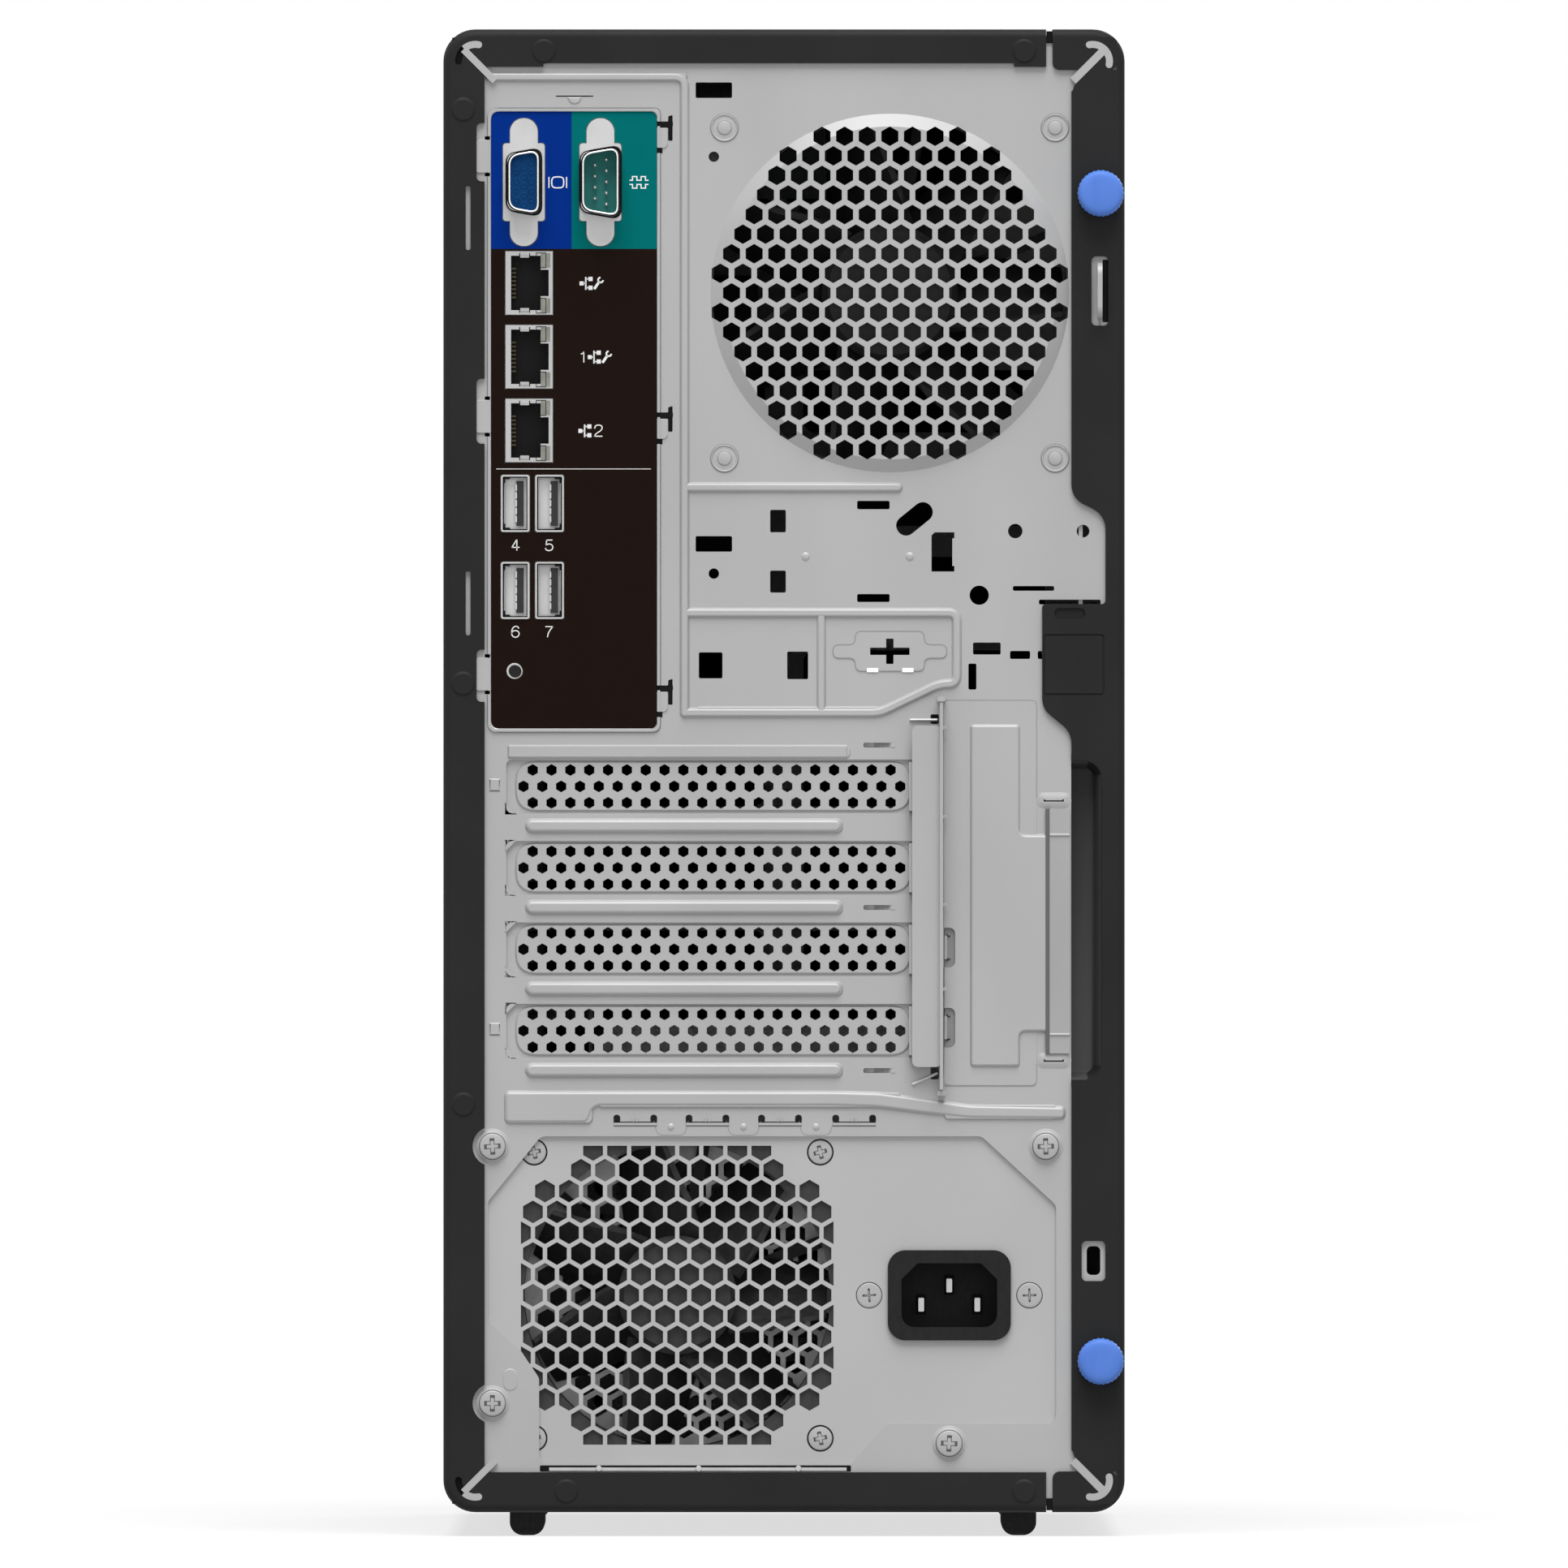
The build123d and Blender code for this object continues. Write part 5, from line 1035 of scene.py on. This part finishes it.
    def rim(self):
        """The rolled edge round the coloured foil, open at the hooks and the side tabs."""
        left, right = (LABEL_LOW.x - LEFT) / MM - 0.4, (LABEL_HIGH.x - LEFT) / MM + 0.4
        top, foot = (TOP - LABEL_HIGH.z) / MM - 0.4, (TOP - LABEL_LOW.z) / MM + 0.4
        cuts_right = [(drop + start, drop + end) for drop in HOOKS for start, end in ((1.1, 2.9), (7.7, 9.2))]
        cuts_left = [(mid + end * 4.55 - 0.5, mid + end * 4.55 + 0.5) for mid in SIDE_TABS for end in (-1, 1)]
        runs = [[(left, cuts_left[0][0]), (left, top), (right, top), (right, cuts_right[0][0])],
                [(left, cuts_left[-1][1]), (left, foot), (right, foot), (right, cuts_right[-1][1])]]
        for side, cuts in ((left, cuts_left), (right, cuts_right)):
            runs += [[(side, a[1]), (side, b[0])] for a, b in zip(cuts, cuts[1:])]
        rolls, lines = [], []
        for run in runs:
            rolls.append(tube(rounded([upper(a, b) for a, b in run], 2.6, 6, False), 0.4, FOIL, False))
            away = [(a + math.copysign(0.55, a - 32), b + (0.55 if b == foot else -0.55 if b == top else 0))
                    for a, b in run]
            lines.append(ribbon([upper(a, b) for a, b in away], 0.2, -0.1, 0.1, 3.0))
        dress(rolls, "shield_rim", "nickel")
        # The line just outside the rim is darker grey: painted shade in the gap.
        dress(lines, "shield_gap", "crease")


class SERVER_OT_prints(bpy.types.Operator):
    """Generic pictograms, figures and the dividing line on the foil"""
    bl_idname = "server.prints"
    bl_label = "Port prints"

    def execute(self, context):
        self.marks = []
        for text, a, b, height in (("4", 18.0, 128.7, 2.75), ("5", 26.4, 128.7, 2.75),
                                   ("6", 18.0, 150.3, 2.75), ("7", 26.4, 150.3, 2.75),
                                   ("1", 34.8, 81.8, 2.7), ("2", 38.7, 100.2, 2.9)):
            for stroke in FIGURES[text]:
                self.line([(a + u * 1.15 * height, b - v * height) for u, v in stroke], height * 0.095, 0.35)
        self.line([(13.2, 109.7), (51.8, 109.7)], 0.16)
        # Network sign: a square with a stem to two more.
        for b, a in ((63.4, 34.0), (81.8, 36.05), (100.2, 33.7)):
            self.line([(a, b), (a + 1.0, b)], 1.0)
            self.line([(a + 0.9, b), (a + 1.6, b)], 0.3)
            self.line([(a + 1.55, b - 1.6), (a + 1.55, b + 1.6)], 0.36)
            for end in (b - 1.1, b + 1.1):
                self.line([(a + 1.6, end), (a + 2.3, end)], 0.3)
                self.line([(a + 2.2, end), (a + 3.25, end)], 1.05)
        # Spanner.
        for b, a in ((63.4, 37.9), (81.8, 39.95)):
            self.line([(a - 0.25, b + 1.4), (a + 0.95, b - 0.35)], 0.66)
            turns = [math.radians(t) for t in range(95, 356, 20)]
            self.line([(a + 1.35 + 0.62 * math.cos(t), b - 0.85 - 0.62 * math.sin(t)) for t in turns], 0.42)
        # Screen between two bars.
        for a in (26.35, 30.75):
            self.line([(a, 36.85), (a, 39.6)], 0.3)
        self.line([(27.2, 36.95), (28.55, 36.8), (29.9, 36.95), (30.1, 38.2), (29.9, 39.45), (28.55, 39.6),
                   (27.2, 39.45), (27.0, 38.2)], 0.32, 0.6, True)
        # Two square waves.
        for side in (-1, 1):
            base, crest = 38.2 + side * 0.52, 38.2 + side * 1.44
            self.line([(46.45, base), (47.2, base), (47.2, crest), (48.3, crest), (48.3, base), (49.35, base),
                       (49.35, crest), (50.45, crest), (50.45, base), (51.2, base)], 0.3)
        dress(self.marks, "port_prints", "ink")
        return {"FINISHED"}

    def line(self, points, width, radius=0.0, closed=False):
        """Adds a printed line."""
        self.marks.append(ribbon([upper(a, b) for a, b in points], width, FOIL - 0.03, FOIL + 0.01, radius,
                                 closed))


class SERVER_OT_knobs(bpy.types.Operator):
    """Blue thumbscrew knobs with a domed face and a ribbed rim"""
    bl_idname = "server.knobs"
    bl_label = "Thumbscrews"

    def execute(self, context):
        sizes = context.scene.server_sizes
        radius, ribs = sizes.knob_radius / MM, sizes.knob_ribs
        profile = [(0, 0.02), (2.4, 0.04), (3.9, 0.1), (4.7, 0.24), (5.2, 0.5), (5.5, 0.95),
                   (radius - 0.12, 1.7), (radius - 0.1, 5.6), (radius - 0.6, 6.3), (2.6, 6.7),
                   (1.75, 6.75), (1.75, 13.0), (1.2, 14.0), (0, 14.15)]
        for end in ("upper", "lower"):
            low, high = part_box(f"thumbscrew_{end}")
            centre = ((low.x + high.x) / 2, (low.z + high.z) / 2)
            mesh = turned(profile, centre, depth_of(low.y), ribs * 4)
            for vertex in mesh.vertices:
                # Only the rim is ribbed, between the dome and the collar.
                if 1.5 < (vertex.co.y - low.y) / MM < 5.8:
                    way = Vector((vertex.co.x - centre[0], 0, vertex.co.z - centre[1]))
                    turn = math.atan2(way.z, way.x) * ribs
                    vertex.co += way.normalized() * 0.1 * MM * (math.cos(turn) - 0.2)
            piece = dress(mesh, f"knob_{end}", "knob", f"{end}_thumbscrew")
            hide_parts(f"thumbscrew_{end}")
        return {"FINISHED"}


class SERVER_OT_supply_screws(bpy.types.Operator):
    """Cross-head screws of the power supply"""
    bl_idname = "server.supply_screws"
    bl_label = "Supply screws"

    def execute(self, context):
        proud = [lower(12.26, 91.3), lower(12.26, 27.2), lower(150.3, 91.3), lower(126.2, 17.2)]
        sunk = [lower(FAN[0] + sx * 35.7, FAN[1] + sz * 35.7) for sx in (-1, 1) for sz in (-1, 1)]
        flat = [lower(INLET[0] + side * 20, INLET[1]) for side in (-1, 1)]
        pan = ((2.86, 0.0), (3.04, 0.06), (3.16, 0.18), (3.22, 0.36), (3.22, 1.05), (3.7, 1.1), (3.86, 1.22),
               (3.9, 1.4), (3.9, 1.78))
        low_pan = ((2.72, 0.0), (2.88, 0.05), (3.0, 0.16), (3.05, 0.32), (3.05, 0.75))
        sunk_head = ((2.6, 0.0), (2.9, 0.02), (3.06, 0.1), (3.1, 0.3), (3.1, 0.6))
        heads, marks = [], []
        # Each kind: places, depth, edge and shank of the head; arm half-width, reach and turns of the cross.
        for places, near, edge, shank, half, reach, turns in (
                (proud, -1.6, pan, 4.9, 0.5, 1.95, (4, 0, 2, -3)),
                (sunk, SUPPLY + 0.05, low_pan, 7.9, 0.42, 1.6, (14, 14, 12, 14)),
                (flat, SUPPLY - 0.12, sunk_head, 3.9, 0.16, 1.6, (4, 2))):
            under = edge[-1][1]
            profile = [(0, 0), *edge, (1.7, under), (1.7, under + shank), (0, under + shank)]
            arm = [(half, half), (half, reach), (-half, reach)]
            tip = [(half, reach * 0.7), (half, reach), (-half, reach), (-half, reach * 0.7)]
            for place, turn in zip(places, turns):
                heads.append(turned(profile, place, near))
                quarters = [math.radians(turn + 90 * k) for k in range(4)]
                cross = [self.swung(point, place, t) for t in quarters for point in arm]
                marks.append(ribbon(cross, 0.2, near - 0.02, near, closed=True))
                # The arms' ends are darker plates, and the cross above a darker outline: painted shade in the
                # recess.
                marks += [plate([self.swung(point, place, t) for point in tip], near - 0.02, near)
                          for t in quarters]
        piece = dress(heads, "cross_head_screws", "sheet")
        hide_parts("psu_screws")
        # Dark rings between the proud heads and their washers: painted shade.
        marks += [washer(place, 3.4, 3.18, -0.57, -0.5, 48) for place in proud]
        dress(marks, "screw_crosses", "groove")
        # Black rings round the flat and sunk heads: painted shadow.
        rings = [washer(place, 3.3, 3.12, SUPPLY - 0.03, SUPPLY + 0.02) for place in flat]
        rings += [washer(place, 3.34, 3.12, SUPPLY - 0.02, SUPPLY + 0.02) for place in sunk]
        dress(rings, "screw_gaps", "black_and_shadow")
        dress([pressed(ring_loop(place, 4.5, 40), 0.16, 0.7, 0) for place in proud], "screw_pads", "sheet")
        return {"FINISHED"}

    def swung(self, point, place, turn):
        """The point beside a screw's middle, swung round it."""
        x, z = point
        return Vector((place[0] + (x * math.cos(turn) - z * math.sin(turn)) * MM,
                       place[1] + (x * math.sin(turn) + z * math.cos(turn)) * MM))


class SERVER_OT_supply_inside(bpy.types.Operator):
    """What shows through the supply's openings: the hexagonal guard and the wells round the pins"""
    bl_idname = "server.supply_inside"
    bl_label = "Supply inside"

    def execute(self, context):
        centre = lower(FAN[0] + 1.6, FAN[1] - 1.2)
        pitch, flat, radius = 6.2, 4.9, 36
        holes = []
        for row in range(-7, 8):
            for col in range(-7, 8):
                x, z = (col + (row % 2) / 2) * pitch, row * pitch * math.sqrt(3) / 2
                if math.hypot(x, z) < radius:
                    holes.append(ring_loop((centre[0] + x * MM, centre[1] + z * MM), flat / math.sqrt(3), 6,
                                           math.pi / 6))
        near = SUPPLY + 27.5
        dress(plate(box_loop(centre, 80, 78, 3.0), near, near + 0.8, holes), "supply_guard", "guard")
        pins = (lower(INLET[0], 56.54), lower(INLET[0] - 7, 51.74), lower(INLET[0] + 7, 51.74))
        dress([plate(box_loop(pin, 2.5, 5.0, 0.2), 14.6, 14.95, [box_loop(pin, 1.5, 3.5)]) for pin in pins],
              "pin_wells", "black_and_shadow")
        fills = []
        for side in (-1, 1):
            a, h = INLET[0] + side * 12.1, 46.0
            arc = [lower(a - side * (3.3 - 3.1 * math.cos(t)), h + 3.3 - 3.1 * math.sin(t))
                   for t in (math.pi / 2 * k / 10 for k in range(11))]
            fills.append(plate([lower(a, h), *arc], depth_of(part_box("ac_inlet")[0].y) + 0.12, 10))
        dress(fills, "cavity_corners", "inlet")
        return {"FINISHED"}


class SERVER_OT_dust_filter(bpy.types.Operator):
    """Black foam sheet behind the front louvres"""
    bl_idname = "server.dust_filter"
    bl_label = "Dust filter"

    def execute(self, context):
        near = depth_of(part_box("front_panel")[1].y) + 0.4
        outline = box_loop((0.0, UNDER + 135 * MM), 150, 214, 6.0)
        dress(plate(outline, near, near + 3.0, bevel=0.6), "dust_filter", "foam")
        return {"FINISHED"}


class SERVER_OT_stage(bpy.types.Operator):
    """Pale floor, white surroundings, soft lamps and the camera"""
    bl_idname = "server.stage"
    bl_label = "Stage"

    def execute(self, context):
        scene = context.scene
        stage = scene.server_stage
        self.floor(scene, stage)
        self.surroundings(scene, stage)
        self.lamp("key_lamp", (0.0, -3.0, 5.7), 4.4, stage.key)
        self.lamp("fill_lamp", (0.4, -2.8, 0.8), 1.6, stage.fill)
        self.lamp("left_lamp", (-2.4, 0.2, 1.3), 1.5, stage.fill)
        self.lamp("front_lamp", (0.9, 2.6, 1.5), 1.6, stage.fill * 4)
        eye = bpy.data.cameras.new("camera")
        eye.lens, eye.sensor_width, eye.clip_end = stage.lens, 36.0, 60
        distance = stage.frame_width * stage.lens / eye.sensor_width
        camera = bpy.data.objects.new("camera", eye)
        camera.location = (0, PANEL_Y - distance, stage.aim_height)
        camera.rotation_euler = (math.radians(90), 0, 0)
        scene.collection.objects.link(camera)
        scene.camera = camera
        scene.view_settings.view_transform = "Standard"
        return {"FINISHED"}

    def floor(self, scene, stage):
        """A wide sheet of white backdrop paper under the object."""
        bm = bmesh.new()
        bmesh.ops.create_grid(bm, x_segments=4, y_segments=4, size=6.0)
        mesh = bpy.data.meshes.new("floor")
        bm.to_mesh(mesh)
        bm.free()
        obj = bpy.data.objects.new("floor", mesh)
        scene.collection.objects.link(obj)
        material = bpy.data.materials.new("matt_white_backdrop_paper")
        material.use_nodes = True
        tree = material.node_tree
        tree.nodes.clear()
        seen = self.seen(tree)
        # The paper looks white, and throws the light of a pale grey one back on the object.
        tone = put(tree, "ShaderNodeMix", {6: linear("#AFAFAF"), 7: linear("#F8F8F8")},
                   {0: seen.outputs[0]}, data_type="RGBA")
        paper = put(tree, "ShaderNodeBsdfDiffuse", links={"Color": tone.outputs[2]})
        shine = put(tree, "ShaderNodeEmission", {"Color": (*stage.sky, 1.0), "Strength": 1.0})
        # The paper's own shading, with the object's shadow, fades to plain white away from it.
        place = put(tree, "ShaderNodeTexCoord")
        far = put(tree, "ShaderNodeVectorMath", links={0: place.outputs["Object"]}, operation="LENGTH")
        fade = put(tree, "ShaderNodeMapRange", {"From Min": 0.25, "From Max": 1.1, "To Min": 0.7,
                                                "To Max": 1.0}, {"Value": far.outputs["Value"]})
        share = put(tree, "ShaderNodeMath", links={0: seen.outputs[0], 1: fade.outputs["Result"]},
                    operation="MULTIPLY")
        mix = put(tree, "ShaderNodeMixShader", links={0: share.outputs[0], 1: paper.outputs[0],
                                                      2: shine.outputs[0]})
        put(tree, "ShaderNodeOutputMaterial", links={"Surface": mix.outputs[0]})
        mesh.materials.append(material)

    def seen(self, tree):
        """1 where the camera, a reflection or clear glass looks, and 0 for the light on the object."""
        path = put(tree, "ShaderNodeLightPath")
        either = put(tree, "ShaderNodeMath", links={0: path.outputs["Is Camera Ray"],
                                                    1: path.outputs["Is Glossy Ray"]}, operation="MAXIMUM")
        return put(tree, "ShaderNodeMath", links={0: either.outputs[0],
                                                  1: path.outputs["Is Transmission Ray"]},
                   operation="MAXIMUM")

    def surroundings(self, scene, stage):
        """A white background that lights the object with the ambient strength."""
        world = bpy.data.worlds.new("white_surroundings")
        world.use_nodes = True
        tree = world.node_tree
        tree.nodes.clear()
        level = put(tree, "ShaderNodeMapRange", {"To Min": stage.ambient, "To Max": 1.0},
                    {"Value": self.seen(tree).outputs[0]})
        sky = put(tree, "ShaderNodeBackground", {"Color": (*stage.sky, 1.0)},
                  {"Strength": level.outputs["Result"]})
        put(tree, "ShaderNodeOutputWorld", links={"Surface": sky.outputs[0]})
        scene.world = world

    def lamp(self, name, place, size, power):
        """A square soft lamp of a side in metres and a power in watts, turned to the object's rear."""
        light = bpy.data.lights.new(name, "AREA")
        light.shape, light.size, light.energy = "SQUARE", size, power
        obj = bpy.data.objects.new(name, light)
        obj.visible_camera = False
        obj.location = place
        aim = Vector((0, -0.1, 0.2)) - Vector(place)
        obj.rotation_euler = aim.to_track_quat("-Z", "Y").to_euler()
        bpy.context.scene.collection.objects.link(obj)


class SERVER_PT_sidebar(bpy.types.Panel):
    """Sizes, colours and pieces of the tower server"""
    bl_label = "Tower Server"
    bl_space_type = "VIEW_3D"
    bl_region_type = "UI"
    bl_category = "Server"

    def draw(self, context):
        layout = self.layout
        for group in (context.scene.server_colours, context.scene.server_sizes, context.scene.server_stage):
            for key in type(group).__annotations__:
                layout.prop(group, key)
        for operator in OPERATORS:
            layout.operator(operator.bl_idname)


OPERATORS = (SERVER_OT_finishes, SERVER_OT_slot_covers, SERVER_OT_beads, SERVER_OT_panel_details,
             SERVER_OT_retainer_details, SERVER_OT_flange_details, SERVER_OT_rivets, SERVER_OT_ports,
             SERVER_OT_prints, SERVER_OT_knobs, SERVER_OT_supply_screws, SERVER_OT_supply_inside,
             SERVER_OT_dust_filter, SERVER_OT_stage)
CLASSES = (ServerColours, ServerSizes, ServerStage, *OPERATORS, SERVER_PT_sidebar)


def register():
    for cls in CLASSES:
        bpy.utils.register_class(cls)
    bpy.types.Scene.server_colours = PointerProperty(type=ServerColours)
    bpy.types.Scene.server_sizes = PointerProperty(type=ServerSizes)
    bpy.types.Scene.server_stage = PointerProperty(type=ServerStage)


def unregister():
    del bpy.types.Scene.server_stage
    del bpy.types.Scene.server_sizes
    del bpy.types.Scene.server_colours
    for cls in reversed(CLASSES):
        bpy.utils.unregister_class(cls)


def main():
    """Builds the scene through its operators."""
    register()
    for operator in OPERATORS:
        group, name = operator.bl_idname.split(".")
        getattr(getattr(bpy.ops, group), name)()


if __name__ == "__main__":
    main()
